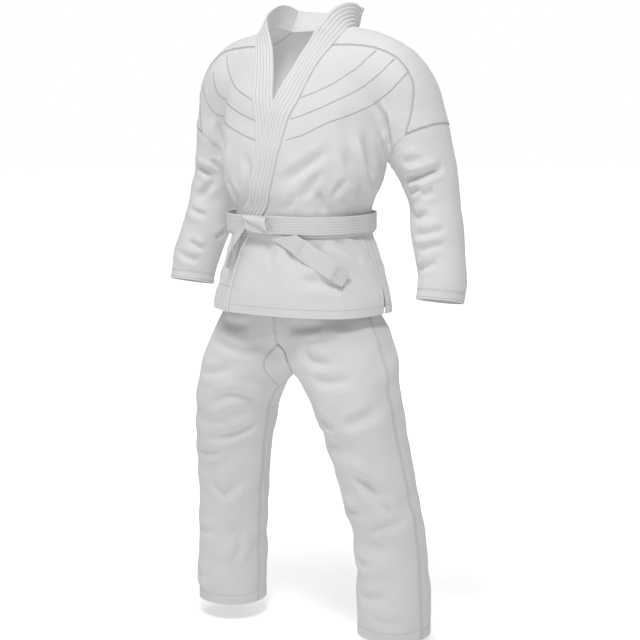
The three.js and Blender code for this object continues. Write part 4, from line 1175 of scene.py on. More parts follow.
@dataclass
class Jacket:
    """Two fronts, a back, two shoulder panels and two sleeves."""

    wall: float = 1.8
    hem_extra: float = 1.2
    hem_depth: float = 20
    panel_lift: float = 1.2
    relief: Relief = None

    def __post_init__(self) -> None:
        """Lays out the seams on the form."""
        self.relief = Relief(JACKET, (JACKET_FOLDS, JACKET_CREASES), 1.5, 0.35, 4)
        self.thread = Stitching("jacket_stitching", SEWING_THREAD)
        self.arcs = Stitching("chest_stitching", ARC_THREAD, 3.4, 3.0, 2.0, 0.9)
        self.armpit = self.find_armpit()
        angle = np.array([[120, 10 + 36 * (z - HEM_Z) / 360, z] for z in SIDE_ROWS])
        side = JACKET.leave(angle, np.array([1.0, 0, 0]))
        self.side = np.concatenate([side, self.armpit[None]])
        self.under_front = JACKET.settle(spline(np.array([tuple(self.armpit)] + UNDER_ARM_FRONT), 4), 6)
        self.under_back = JACKET.settle(spline(np.array([tuple(self.armpit)] + UNDER_ARM_BACK), 4), 6)
        self.cap_front = JACKET.settle(spline(np.array(CAP_FRONT), 4), 6)
        self.cap_back = JACKET.settle(spline(np.array(CAP_BACK), 4), 6)
        self.biceps = JACKET.settle(spline(np.array(BICEPS), 8), 6)
        rows = np.array(LAPEL_ROWS, float)
        self.lapel = JACKET.front_point(LAPEL_AT(rows)[..., 0], rows)
        corner = self.lapel[-1]
        self.yoke_front = JACKET.settle(spline(np.array([tuple(corner)] + YOKE_FRONT), 9), 6)
        self.yoke_back = JACKET.settle(spline(np.array(YOKE_BACK), 9), 6)
        self.neck_side = JACKET.settle(spline(np.array([tuple(corner)] + NECK_SIDE), 8), 6)
        start = self.yoke_back[0]
        line = [start, (54, 96, 1508), (0, 100, 1507), (-54, 96, 1508), mirror(start)]
        self.nape = JACKET.settle(spline(np.array([tuple(p) for p in line]), 6), 6)

    @staticmethod
    def find_armpit() -> Array:
        """The place where the gap between body and sleeve closes."""
        z, x = np.meshgrid(np.arange(1290, 1100, -1.0), np.arange(205, 290, 2.0), indexing="ij")
        p = np.stack([x, np.full(x.shape, 46.0), z], axis=-1).reshape(-1, 3)
        first = np.argmax(JACKET.field(p) > 0)
        return JACKET.settle(p[first][None], 8)[0]

    @staticmethod
    def hem_line(start: Array, stop: Array, steps: int, back: bool) -> Array:
        """A stretch of the hem, by angle between two of its points."""
        sign = 1 if back else -1
        low, high = (math.atan2(p[0], sign * p[1]) for p in (start, stop))
        a = low + (high - low) * np.arange(1, steps) / steps
        out = np.stack([np.sin(a), sign * np.cos(a), 0 * a], axis=1)
        middle = JACKET.leave(np.array([0.0, 0, HEM_Z]), out)
        return np.concatenate([start[None], middle, stop[None]])

    @staticmethod
    def parted(line: Array, toward: int) -> Array:
        """The side edge, drawn back below the top of the vent."""
        gap = VENT_HALF_GAP * (1 - rise(HEM_Z, VENT_TOP_Z, line[:, 2]))
        moved = line + np.array([0, toward, 0]) * gap[:, None]
        return np.where((gap > 0)[:, None], JACKET.settle(moved, 4), line)

    def front_grid(self) -> Array:
        """The left front's fine grid."""
        side = self.parted(self.side, -1)
        right = np.concatenate([side, self.under_front[1:], self.cap_front[1:]])
        hem = self.hem_line(self.lapel[0], side[0], 9, False)
        coarse = JACKET.patch(self.lapel, right, hem, self.yoke_front)
        parts = [JACKET.fine_line(side)]
        parts += [JACKET.fine_line(line)[1:] for line in (self.under_front, self.cap_front)]
        edges = [JACKET.fine_line(self.lapel), np.concatenate(parts)]
        edges += [JACKET.fine_line(hem), JACKET.fine_line(self.yoke_front)]
        return JACKET.fine_patch(coarse, edges)

    def back_grid(self) -> Array:
        """The back's fine grid, from the wearer's right to the left."""
        side = self.parted(self.side, 1)
        right = np.concatenate([side, self.under_back[1:], self.cap_back[1:]])
        hem = self.hem_line(mirror(right[0]), right[0], 24, True)
        top = np.concatenate([mirror(self.yoke_back[::-1]), self.nape[::-1][1:], self.yoke_back[1:]])
        coarse = JACKET.patch(mirror(right), right, hem, top)
        lines = [JACKET.fine_line(line) for line in (side, self.under_back, self.cap_back)]
        fine_right = np.concatenate([lines[0], lines[1][1:], lines[2][1:]])
        yoke, nape = JACKET.fine_line(self.yoke_back), JACKET.fine_line(self.nape)
        fine_top = np.concatenate([mirror(yoke[::-1]), nape[::-1][1:], yoke[1:]])
        return JACKET.fine_patch(coarse, [mirror(fine_right), fine_right, JACKET.fine_line(hem), fine_top])

    def panel_grid(self) -> Array:
        """The left shoulder panel's fine grid, from the neck to the upper arm."""
        front = np.concatenate([self.yoke_front, self.cap_front[::-1][1:]])
        back = np.concatenate([self.yoke_back, self.cap_back[::-1][1:]])
        coarse = JACKET.patch(front, back, self.neck_side, self.biceps)
        seams = (self.yoke_front, self.cap_front, self.yoke_back, self.cap_back)
        lines = [JACKET.fine_line(seam) for seam in seams]
        fine_front = np.concatenate([lines[0], lines[1][::-1][1:]])
        fine_back = np.concatenate([lines[2], lines[3][::-1][1:]])
        ends = [JACKET.fine_line(self.neck_side), JACKET.fine_line(self.biceps)]
        return JACKET.fine_patch(coarse, [fine_front, fine_back] + ends)

    def sleeve_grid(self) -> Array:
        """The left sleeve's fine grid, from its seam loop to the cuff."""
        top = np.concatenate([self.under_front[:-1], self.biceps[:-1], self.under_back[::-1][:-1]])
        line = JACKET.arm
        places = np.arange((len(line) - 1) * 10 + 1) / 10
        centre, down, front, inward = self.arm_frames(places)
        starts, angles = [], []
        cuff = self.place_on_arm(np.array([374.0, 18, 872]), centre, down)
        for p in top:
            k = self.place_on_arm(p, centre, down)
            out = p - centre[k]
            starts.append(places[k])
            angles.append(math.atan2(out @ front[k], out @ inward[k]))
        starts, angles = np.array(starts), np.array(angles)
        angles = np.where(angles < -0.2, angles + 2 * np.pi, angles)
        even = 2 * np.pi * np.arange(len(top)) / len(top)
        rows = [top]
        for j in range(1, 19):
            s = j / 18
            angle = angles + (even - angles) * rise(0, 0.8, s)
            c, _, f, w = self.arm_frames(starts + (places[cuff] - starts) * s)
            out = w * np.cos(angle)[:, None] + f * np.sin(angle)[:, None]
            rows.append(JACKET.leave(c, out))
        coarse = np.array(rows)
        grid = finer(finer(coarse, FINE).swapaxes(0, 1), FINE, True).swapaxes(0, 1)
        lines = [JACKET.fine_line(x) for x in (self.under_front, self.biceps, self.under_back)]
        fine_top = np.concatenate([lines[0][:-1], lines[1][:-1], lines[2][::-1][:-1]])
        fade = np.clip(1 - np.arange(len(grid)) / 18, 0, 1)[:, None, None]
        grid = grid + (fine_top - grid[0])[None] * fade
        grid[1:] = JACKET.cast(grid[1:], JACKET.normal(grid[1:]), 2)
        return grid

    @staticmethod
    def arm_frames(places: Array) -> tuple:
        """Centres and directions of the sleeve at places along its line."""
        line = JACKET.arm
        i = np.minimum(np.floor(places).astype(int), len(line) - 2)
        t = (places - i)[:, None]
        centre = (line[i] * (1 - t) + line[i + 1] * t)[:, :3]
        down = unit(line[np.minimum(i + 2, len(line) - 1), :3] - line[np.maximum(i - 1, 0), :3])
        front = unit(np.array([0.0, -1, 0]) + down * down[:, 1:2])
        return centre, down, front, np.cross(down, front)

    @staticmethod
    def place_on_arm(p: Array, centre: Array, down: Array) -> int:
        """Which place along the sleeve's line a point lies level with."""
        level = np.abs(np.sum((p - centre) * down, axis=1))
        level[np.linalg.norm(p - centre, axis=1) >= 130] = 1e9
        return int(level.argmin())

    def piece(self, name: str, grid: Array, edges: list, lift: Array, hem: list, wrapped: bool) -> ClothPiece:
        """Turns a grid on the form into a piece of cloth.

        Args:
            name: the piece's name.
            grid: points on the form.
            edges: its sewn edges.
            lift: how far it stands off the form, beside its folds.
            hem: its hemmed edges.
            wrapped: whether it is a tube.

        Returns:
            The piece.
        """
        seam = edge_distance(grid, edges)
        far = edge_distance(grid, hem)
        double = self.hem_extra * (1 - rise(self.hem_depth, self.hem_depth + 4, far))
        groove = 0.7 * np.exp(-(((far - self.hem_depth) / 5) ** 2))
        normal = JACKET.normal(grid)
        high = lift + self.relief.height(grid, seam)
        outer = grid + normal * (high + double / 2 - groove)[..., None]
        inner = grid + normal * (high - self.wall - double / 2)[..., None]
        return ClothPiece(name, outer, inner, wrapped, seam)

    def seam_row(
        self, piece: ClothPiece, edge: Edge, distance: float, thread: Stitching = None, top: float = 9999
    ) -> None:
        """Sews a row of stitches beside an edge of a piece.

        Args:
            piece: the piece.
            edge: the edge that the row follows.
            distance: how far from the edge it runs.
            thread: what it is sewn with, if not the jacket's own thread.
            top: the height that it ends at.
        """
        line = line_in_grid(piece.outer, edge, distance)
        if piece.wrapped:
            line = np.concatenate([line, line[:1]])
        line = line[line[:, 2] < top]
        (thread or self.thread).add_row(line, JACKET.normal(line))

    def build(self) -> None:
        """Makes all pieces of the jacket and sews them."""
        sewn = [Edge.RIGHT, Edge.TOP, Edge.LEFT]
        front = self.front_grid()
        over = self.piece("front_left", front, sewn, overlap_lift(front), [Edge.BOTTOM], False)
        dress(over, ["jacket_front_left"], JACKET_CLOTH, (0.44, 0.7))
        under = self.piece("front_right", mirror(front), sewn, 0 * front[..., 0], [Edge.BOTTOM], False)
        dress(under, ["jacket_front_right"], JACKET_CLOTH, (0.44, 0.7))
        grid = self.back_grid()
        back = self.piece("back", grid, sewn, 0 * grid[..., 0], [Edge.BOTTOM], False)
        dress(back, ["jacket_back"], JACKET_CLOTH, (0.67, 0.7))
        panel, sleeve = self.panel_grid(), self.sleeve_grid()
        for side, flip in (("left", np.array), ("right", mirror)):
            grid = flip(panel)
            lift = np.full(grid.shape[:2], self.panel_lift)
            joined_edges = [Edge.LEFT, Edge.RIGHT, Edge.TOP]
            shoulder = self.piece(f"shoulder_{side}", grid, joined_edges, lift, [], False)
            node = f"shoulder_panel_{side}"
            dress(shoulder, [node], JACKET_CLOTH, (0.215, 0.38))
            grid = flip(sleeve)
            tube = self.piece(f"sleeve_{side}_cloth", grid, [Edge.BOTTOM], 0 * grid[..., 0], [Edge.TOP], True)
            node = f"sleeve_{side}"
            dress(tube, [node], JACKET_CLOTH, (0.52, 0.43))
            for distance in (5, 20, 24):
                self.seam_row(tube, Edge.TOP, distance)
            for edge in (Edge.LEFT, Edge.RIGHT, Edge.TOP):
                self.seam_row(shoulder, edge, 2.5, self.arcs)
        for item in (over, under, back):
            self.seam_row(item, Edge.BOTTOM, self.hem_depth)
        for item, edge in ((over, Edge.RIGHT), (under, Edge.RIGHT), (back, Edge.LEFT), (back, Edge.RIGHT)):
            self.seam_row(item, edge, 20, None, VENT_TOP_Z + 4)
        self.sew_arcs()
        self.thread.build()
        self.arcs.build()

    def sew_arcs(self) -> None:
        """Sews the arches over the chest, on both fronts."""
        for side, arcs in ((1, CHEST_ARCS), (-1, RIGHT_ARCS)):
            for arc in arcs:
                line = JACKET.settle(spline(np.array(arc, float), 90), 3)
                normal = JACKET.normal(line)
                lift = overlap_lift(line) if side == 1 else 0
                high = self.relief.height(line) + lift + 0.15
                self.arcs.add_row(line + normal * np.asarray(high)[..., None], normal)


@dataclass
class Collar:
    """One long ribbed band round the neck and down both fronts."""

    jacket: Jacket
    ribs: int = 6
    samples: int = 8
    rib_depth: float = 1.5
    inside: float = 1.0

    def build(self) -> None:
        """Makes the band and its rows of stitching."""
        lapel = JACKET.fine_line(self.jacket.lapel)
        neck = JACKET.fine_line(self.jacket.neck_side)
        nape = JACKET.fine_line(self.jacket.nape)
        left = np.concatenate([lapel, neck[1:]])
        line = np.concatenate([left, nape[1:], mirror(left[:-1][::-1])])
        half = (len(line) - 1) / 2
        k = np.arange(len(line))
        from_end = np.minimum(k, 2 * half - k)
        lapel_length = len(self.jacket.lapel)
        coarse_half = half / FINE
        to_nape = rise(lapel_length + 3, coarse_half - 2, from_end / FINE)
        on_neck = from_end / FINE > lapel_length - 1
        lean = LEAN_AT(line[:, 2])[:, 0]
        lean = np.where(on_neck, lean + (NAPE_LEAN - lean) * to_nape, lean)
        normal = JACKET.normal(line)
        tangent = unit(np.concatenate([line[1:2] - line[:1], line[2:] - line[:-2], line[-1:] - line[-2:-1]]))
        across = unit(np.cross(normal, tangent))
        lift = np.where(k < half, overlap_lift(line), 0)
        radians = np.radians(lean)[:, None]
        direction = across * np.cos(radians) + normal * np.sin(radians)
        facing = normal * np.cos(radians) - across * np.sin(radians)
        t = np.linspace(0, 1, self.ribs * self.samples + 1)
        straight = line[:, None] + direction[:, None] * (SEAM_GAP + LAPEL_WIDTH * t)[None, :, None]
        follow = (1 - rise(0, 18, lean))[:, None, None]
        laid = JACKET.settle(straight, 4)
        base = straight * (1 - follow) + laid * follow
        facing = unit(facing[:, None] * (1 - follow) + JACKET.normal(laid) * follow)
        lifted = np.where((k < half)[:, None], np.maximum(lift[:, None], overlap_lift(base)), 0)
        flat = (1 - rise(14, 24, lean))[:, None]
        high = lifted + self.jacket.relief.height(base) * flat
        rib = 0.5 - 0.5 * np.cos(t * self.ribs * 2 * np.pi)
        edge = 1.2 * (np.exp(-t * 60) + np.exp(-(1 - t) * 60))
        out = LAPEL_OUT - self.rib_depth * (1 - rib**0.6) - edge
        outer = base + facing * (high + out[None])[..., None]
        inner = base + facing * (high - self.inside)[..., None]
        distance = np.minimum(t, 1 - t)[None] * LAPEL_WIDTH + 1.5 + 0 * high
        piece = ClothPiece("collar_band", outer, inner, False, distance)
        dress(piece, ["collar"], COLLAR_CLOTH, (0.06, 2.0))
        thread = Stitching("collar_stitching", ARC_THREAD, 4.4, 3.6, 1.5, 0.6)
        for row in range(1, self.ribs):
            thread.add_row(outer[:, row * self.samples], facing[:, row * self.samples])
        for station in (10, len(line) - 11):
            thread.add_row(outer[station, 2:-2], facing[station, 2:-2])
        thread.build()


@dataclass
class Trousers:
    """Four leg panels, a gusset and a waistband."""

    wall: float = 1.6
    hem_extra: float = 1.2
    hem_depth: float = 26
    gusset_lift: float = 2.0
    relief: Relief = None

    def __post_init__(self) -> None:
        """Lays the folds on the legs."""
        self.relief = Relief(TROUSERS, (TROUSER_FOLDS, TROUSER_CREASES), 2.0, 0.9, 9)
        self.thread = Stitching("trouser_stitching", SEWING_THREAD)
        self.crotch = TROUSERS.leave(np.array([0.0, -14, 800]), np.array([0.0, 0, -1]))

    def centre_seam(self, back: bool) -> Array:
        """The seam down the middle, from the waist to the crotch."""
        sign = 1 if back else -1
        starts = np.array([[0.0, -10, z] for z in CENTRE_ROWS])
        upper = TROUSERS.leave(starts, np.array([0.0, sign, 0]))
        a = np.radians(ARC_ANGLES)
        out = np.stack([0 * a, sign * np.cos(a), -np.sin(a)], axis=1)
        return np.concatenate([upper, TROUSERS.leave(np.array([0.0, -14, 800]), out)])

    def side_points(self, rows: list, direction: tuple) -> Array:
        """Points of the leg's inner or outer seam at heights."""
        z = np.array(rows, float)
        shape = TROUSERS.leg(z)
        start = np.stack([shape[:, 0], shape[:, 2], z], axis=1)
        return TROUSERS.leave(start, np.array(direction, float))

    def end_line(self, inner: Array, outer: Array, centre: Array, back: bool) -> Array:
        """The top or the hem of a panel, by angle."""
        sign = 1 if back else -1
        start = math.atan2(inner[0] - centre[0], abs(inner[1] - centre[1]))
        stop = math.atan2(outer[0] - centre[0], sign * (outer[1] - centre[1]))
        a = start + (stop - start) * np.arange(1, 8) / 8
        out = np.stack([np.sin(a), sign * np.cos(a), 0 * a], axis=1)
        return np.concatenate([inner[None], TROUSERS.leave(centre, out), outer[None]])

    def leg_grid(self, back: bool) -> Array:
        """The fine grid of the left leg's front or back, from the hem up."""
        rows = [self.crotch[2] - 16, self.crotch[2] - 45, self.crotch[2] - 85] + INSEAM_ROWS
        inseam = self.side_points(rows, (-1, 0, 0))
        centre = self.centre_seam(back)
        inner = np.concatenate([centre, self.crotch[None], inseam])
        outer = self.side_points(LEG_SIDE_ROWS, (1, -0.1, 0))
        top = self.end_line(inner[0], outer[0], np.array([0, -8, inner[0][2]]), back)
        shape = TROUSERS.leg(np.array(float(TROUSER_HEM_Z)))
        hem = self.end_line(inner[-1], outer[-1], np.array([shape[0], shape[2], TROUSER_HEM_Z]), back)
        coarse = TROUSERS.patch(inner[::-1], outer[::-1], hem, top)
        steps = (7, 8)
        edges = [TROUSERS.fine_line(inner[::-1], 7), TROUSERS.fine_line(outer[::-1], 7)]
        edges += [TROUSERS.fine_line(hem, 8), TROUSERS.fine_line(top, 8)]
        return TROUSERS.fine_patch(coarse, edges, steps)

    def piece(self, name: str, grid: Array, edges: list, lift: float, hem: list, wrapped: bool) -> ClothPiece:
        """Turns a grid on the legs into a piece of cloth."""
        seam = edge_distance(grid, edges)
        far = edge_distance(grid, hem)
        double = self.hem_extra * (1 - rise(self.hem_depth, self.hem_depth + 5, far))
        groove = 0.8 * np.exp(-(((far - self.hem_depth) / 6) ** 2))
        normal = TROUSERS.normal(grid)
        high = lift + self.relief.height(grid, seam if lift == 0 else None)
        outer = grid + normal * (high + double / 2 - groove)[..., None]
        inner = grid + normal * (high - self.wall - double / 2)[..., None]
        return ClothPiece(name, outer, inner, wrapped, seam)

    def gusset_grid(self) -> Array:
        """A diamond over the crotch, from the front seam to the back and down both inseams."""
        fronts = TROUSERS.settle(np.array([[8.0, -120, 750]]), 6)[0] * np.array([0, 1, 1])
        backs = TROUSERS.settle(np.array([[0.0, 112, 742]]), 6)[0]
        tip = self.side_points([632], (-1, 0, 0))[0]
        half = [fronts, (46, -112, 700), tip]
        rear = [tip, (46, 78, 692), backs]
        a = TROUSERS.settle(spline(np.array([tuple(p) for p in half], float), 12), 6)
        b = TROUSERS.settle(spline(np.array([tuple(p) for p in rear], float), 12), 6)
        coarse = TROUSERS.patch(a, mirror(b)[::1][::1], mirror(a)[::1], b)
        return coarse

    def build(self) -> None:
        """Makes the trousers and sews them."""
        front, back = self.leg_grid(False), self.leg_grid(True)
        sewn = [Edge.LEFT, Edge.RIGHT]
        for side, flip in (("left", np.array), ("right", mirror)):
            for name, grid in (("front", front), ("back", back)):
                piece = self.piece(f"trouser_{name}_{side}_cloth", flip(grid), sewn, 0, [Edge.BOTTOM], False)
                node = f"trouser_{name}_{side}"
                dress(piece, [node], TROUSER_CLOTH, (0.4, 1.05))
                for edge in sewn:
                    self.seam_row(piece, edge, 5)
                self.seam_row(piece, Edge.BOTTOM, self.hem_depth)
        self.build_waistband(front, back)
        self.build_gusset()
        self.thread.build()

    def seam_row(self, piece: ClothPiece, edge: Edge, distance: float) -> None:
        """Sews a row of stitches beside an edge of a piece."""
        line = line_in_grid(piece.outer, edge, distance)
        if piece.wrapped:
            line = np.concatenate([line, line[:1]])
        self.thread.add_row(line, TROUSERS.normal(line))

    def build_waistband(self, front: Array, back: Array) -> None:
        """The band round the top of the four panels."""
        rows = slice(len(front) - 8, len(front))
        left = np.concatenate([front[rows], back[rows][:, ::-1][:, 1:]], axis=1)
        ring = np.concatenate([left, mirror(left[:, ::-1][:, 1:-1])], axis=1)
        normal = TROUSERS.normal(ring)
        high = self.relief.height(ring) * 0.2
        outer = ring + normal * (1.9 + np.minimum(high, 0))[..., None]
        inner = ring + normal * (0.3 + np.minimum(high, 0))[..., None]
        piece = ClothPiece("waistband", outer, inner, True, edge_distance(ring, [Edge.BOTTOM, Edge.TOP]))
        dress(piece, ["trouser_waistband"], TROUSER_CLOTH, (0.046, 0.97))
        self.seam_row(piece, Edge.BOTTOM, 3)

    def build_gusset(self) -> None:
        """The diamond at the crotch."""
        grid = finer(finer(self.gusset_grid(), 2).swapaxes(0, 1), 2).swapaxes(0, 1)
        grid[1:-1, 1:-1] = TROUSERS.settle(grid[1:-1, 1:-1], 2)
        every = [Edge.LEFT, Edge.RIGHT, Edge.BOTTOM, Edge.TOP]
        piece = self.piece("gusset", grid, every, self.gusset_lift, [], False)
        dress(piece, ["trouser_gusset"], TROUSER_CLOTH, (0.21, 0.19))
        for edge in every:
            self.seam_row(piece, edge, 3)


@dataclass
class Belt:
    """Two turns round the waist, a knot and two hanging ends, one with a rank bar."""

    jacket: Jacket
    width: float = 43
    thick: float = 3.2
    clear: float = 0.8
    gap: float = 0.5
    ribs: int = 7
    samples: int = 5
    rib_depth: float = 0.9

    def __post_init__(self) -> None:
        """Works out the knot's place and directions."""
        self.thread = Stitching("belt_stitching", SEWING_THREAD, 4.4, 3.4, 1.1, 0.5)
        p, normal, under = self.waist(np.array([-20.0]), np.array([-134.0]))
        level = unit(np.cross(normal[0], np.array([0.0, 0, -1])))
        tilt = math.radians(-5)
        self.axis = unit(level * math.cos(tilt) + np.array([0, 0, math.sin(tilt)]))
        face = under[0] + self.thick + self.gap + self.thick + 2.3
        self.origin = np.array([p[0][0], p[0][1], 1045.0]) + normal[0] * face
        self.up = unit(np.cross(self.axis, normal[0]))
        self.out = normal[0]

    def waist(self, x: Array, y: Array) -> tuple:
        """Where the belt lies round the waist, by directions from its middle.

        Args:
            x: the directions' parts to the wearer's left.
            y: the directions' parts to the back.

        Returns:
            Points of the form, level directions out, and how far out the belt starts.
        """
        out = unit(np.stack([x, y, 0 * x], axis=1))
        p = JACKET.leave(np.array([0.0, 0, 1046]), out)
        normal = unit(JACKET.normal(p) * np.array([1, 1, 0]))
        reach = []
        for z in (1012, 1024, 1036, 1048, 1060, 1074):
            q = JACKET.leave(np.array([0.0, 0, z]), out)
            seam = LAPEL_AT(np.full(len(q), float(z)))[:, 0]
            from_far = rise(0, 30, q[:, 0] - (seam - LAPEL_WIDTH - 34))
            lapel = LAPEL_OUT * from_far * (1 - rise(0, 30, q[:, 0] - (seam + 4)))
            lapel = np.where(q[:, 1] < 0, lapel, 0)
            folds = sum(crease.height(q) for crease in self.jacket.relief.creases if crease.swell == 0)
            reach.append(np.sum((q - p) * normal, axis=1) + overlap_lift(q) + folds + lapel)
        return p, normal, np.max(reach, axis=0) + self.clear

    def strap(
        self, name: str, centre: Array, across: Array, face: Array, width: Array, wrapped: bool
    ) -> ClothPiece:
        """A flat sewn strap on a line.

        Args:
            name: the piece's name.
            centre: points of its middle line.
            across: directions over its width.
            face: directions that its outer side faces.
            width: its width at each point.
            wrapped: whether its ends join.

        Returns:
            The piece, with rows across the strap and columns along it.
        """
        t = np.linspace(-0.5, 0.5, self.ribs * self.samples + 1)
        rib = (0.5 - 0.5 * np.cos((t + 0.5) * self.ribs * 2 * np.pi)) ** 0.6
        edge = 0.7 * (np.exp(-(t + 0.5) * 70) + np.exp(-(0.5 - t) * 70))
        high = self.thick / 2 - self.rib_depth * 0.5 * (1 - rib) - edge
        base = centre[None] + across[None] * (t[:, None] * width[None])[..., None]
        outer = base + face[None] * high[:, None, None]
        inner = base - face[None] * high[:, None, None]
        seam = np.minimum(t + 0.5, 0.5 - t)[:, None] * width[None] + 1.5
        return ClothPiece(name, outer, inner, wrapped, seam)

    def sew(self, piece: ClothPiece, face: Array, both: bool = False) -> None:
        """Sews the rows of stitching along a strap."""
        for row in range(1, self.ribs):
            k = row * self.samples
            line = piece.outer[k]
            if piece.wrapped:
                line = np.concatenate([line, line[:1]])
                self.thread.add_row(line, np.concatenate([face, face[:1]]))
            else:
                self.thread.add_row(line, face)
            if both:
                self.thread.add_row(piece.inner[k], -face)

    def build(self) -> None:
        """Makes the belt."""
        wraps = (("belt_wrap_inner", 0, 1036, 1047), ("belt_wrap_outer", 1, 1044, 1050))
        for name, layer, front_z, back_z in wraps:
            a = 2 * np.pi * np.arange(44) / 44
            p, normal, under = self.waist(np.sin(a), -np.cos(a))
            out = under + layer * (self.thick + self.gap) + self.thick / 2
            centre = p + normal * out[:, None]
            centre[:, 2] = front_z + (back_z - front_z) * (1 - np.cos(a)) / 2
            centre = finer(centre, 7, True)
            normal = unit(finer(normal, 7, True))
            up = np.broadcast_to(np.array([0.0, 0, 1]), centre.shape)
            turn = np.linspace(0, 2 * np.pi, len(centre), endpoint=False)
            centre = centre + up * (0.7 * np.sin(3 * turn + layer) + 0.4 * np.sin(7 * turn))[:, None]
            piece = self.strap(f"{name}_cloth", centre, up, normal, np.full(len(centre), self.width), True)
            flat = (0.043, 1.06 + 0.02 * layer)
            dress(piece, [name], BELT_CLOTH, flat)
            self.sew(piece, normal)
        self.build_knot()
        self.build_ends()
        self.thread.build()

    def in_knot(self, a: Array, b: Array, c: Array) -> Array:
        """Points in the knot's own directions."""
        return self.origin + self.axis * a[:, None] + self.up * b[:, None] + self.out * c[:, None]

    def build_knot(self) -> None:
        """One turn of belt round the roots of the hanging ends."""
        tall, deep = (38 - self.thick) / 2, (13 - self.thick) / 2
        a = 2 * np.pi * np.arange(84) / 84
        squared = lambda v: np.sign(v) * np.abs(v) ** 0.55
        up, out = tall * squared(np.sin(a)), deep * squared(np.cos(a))
        centre = self.in_knot(up * 0.45, up, out + 6.5)
        lean = unit(np.stack([0 * a, np.sin(a) * deep, np.cos(a) * tall], axis=1))
        face = self.up * lean[:, 1:2] + self.out * lean[:, 2:3]
        across = np.broadcast_to(self.axis, centre.shape)
        piece = self.strap("knot", centre, across, face, np.full(len(a), 68.0), True)
        x = np.linspace(-1, 1, piece.outer.shape[0])[:, None]
        s = (up / tall)[None]
        above = rise(-0.1, 0.25, s - 0.62 * x + 0.05)
        front = rise(0.1, 0.7, np.cos(a))[None]
        pocket = 2.0 * above * rise(0, 0.3, 1 - np.abs(x)) * rise(0, 0.12, 1 - np.abs(s))
        swell = 3.0 * (1 - above) * rise(0, 0.5, 1 - np.abs(s))
        move = front * (swell - pocket)
        piece.outer = piece.outer + self.out * move[..., None]
        piece.inner = piece.inner + self.out * np.maximum(move, -1.4)[..., None]
        dress(piece, ["belt_knot"], BELT_CLOTH, (0.069, 0.1))
        self.sew(piece, face)

    def end_places(self, roots: list, rows: list, steps: int) -> dict:
        """Places along a hanging end.

        Args:
            roots: places inside the knot.
            rows: x, z, distance out, width, twist and skew of further places.
            steps: how many steps the line has.

        Returns:
            Its middle line and its directions.
        """
        hanging = []
        for x, z, out, width, twist, skew in rows:
            p = JACKET.leave(np.array([[x, 0.0, z]]), np.array([0.0, -1, 0]))[0]
            normal = JACKET.normal(np.array([[p[0], p[1], 1046.0]]))[0]
            level = unit(normal * np.array([1, 1, 0]))
            hanging.append(np.concatenate([p + level * out, [width, twist, skew], level]))
        line = spline(np.array(roots + hanging), steps)
        steps_along = [line[1:2] - line[:1], line[2:] - line[:-2], line[-1:] - line[-2:-1]]
        run = unit(np.concatenate(steps_along)[:, :3])
        twist, skew = np.radians(line[:, 4:5]), np.radians(line[:, 5:6])
        level = line[:, 6:9]
        out = unit(level - run * np.sum(level * run, axis=1)[:, None])
        face = out * np.cos(twist) + np.cross(run, out) * np.sin(twist)
        square = np.cross(face, run)
        across = square * np.cos(skew) + run * np.sin(skew)
        width = line[:, 3] / np.cos(skew[:, 0])
        return {"centre": line[:, :3], "across": across, "face": face, "width": width}

    def build_ends(self) -> None:
        """The two hanging ends and the bar."""
        right_rows = [
            (46, 1019, 17, 43, 0, 54),
            (80, 1000, 19, 43, 2, 0),
            (107, 981, 20, 43, 4, 0),
            (134, 962, 20, 43, 3, 0),
            (160, 942, 20, 43, 0, 0),
            (180, 924, 20, 43, -3, 0),
        ]
        left_rows = [
            (-71, 1028, 31, 28, 8, 0),
            (-80, 1009, 33, 34, 22, 0),
            (-85, 986, 35, 40, 38, 0),
            (-88, 962, 36, 43, 50, 0),
            (-90, 938, 36, 43, 54, 0),
        ]
        middle = self.in_knot(np.array([30.0, 0, -34]), np.zeros(3), np.full(3, 6.5))
        roots = [np.concatenate([p, [26, 0, 0], self.out]) for p in middle]
        for name, start, rows, steps in (
            ("belt_end_right", [], right_rows, 126),
            ("belt_end_left", roots, left_rows, 98),
        ):
            place = self.end_places(start, rows, steps)
            piece = self.strap(f"{name}_cloth", **place, wrapped=False)
            dress(piece, [name], BELT_CLOTH, (0.043, 0.215))
            self.sew(piece, place["face"], True)
            for inset in (2, 6, 10):
                self.sew_box(piece, place["face"], inset)
            if name == "belt_end_right":
                self.build_bar(place)

    def sew_box(self, piece: ClothPiece, face: Array, inset: int) -> None:
        """Sews one of the nested boxes at the tip of a hanging end."""
        low, high = 1 + inset, piece.outer.shape[0] - 2 - inset
        near, far = piece.outer.shape[1] - 21 + inset // 2, piece.outer.shape[1] - 2 - inset // 2
        for column in (near, far):
            line = piece.outer[low : high + 1, column]
            self.thread.add_row(line, np.broadcast_to(face[column], line.shape))
        for row in (low, high):
            self.thread.add_row(piece.outer[row, near : far + 1], face[near : far + 1])

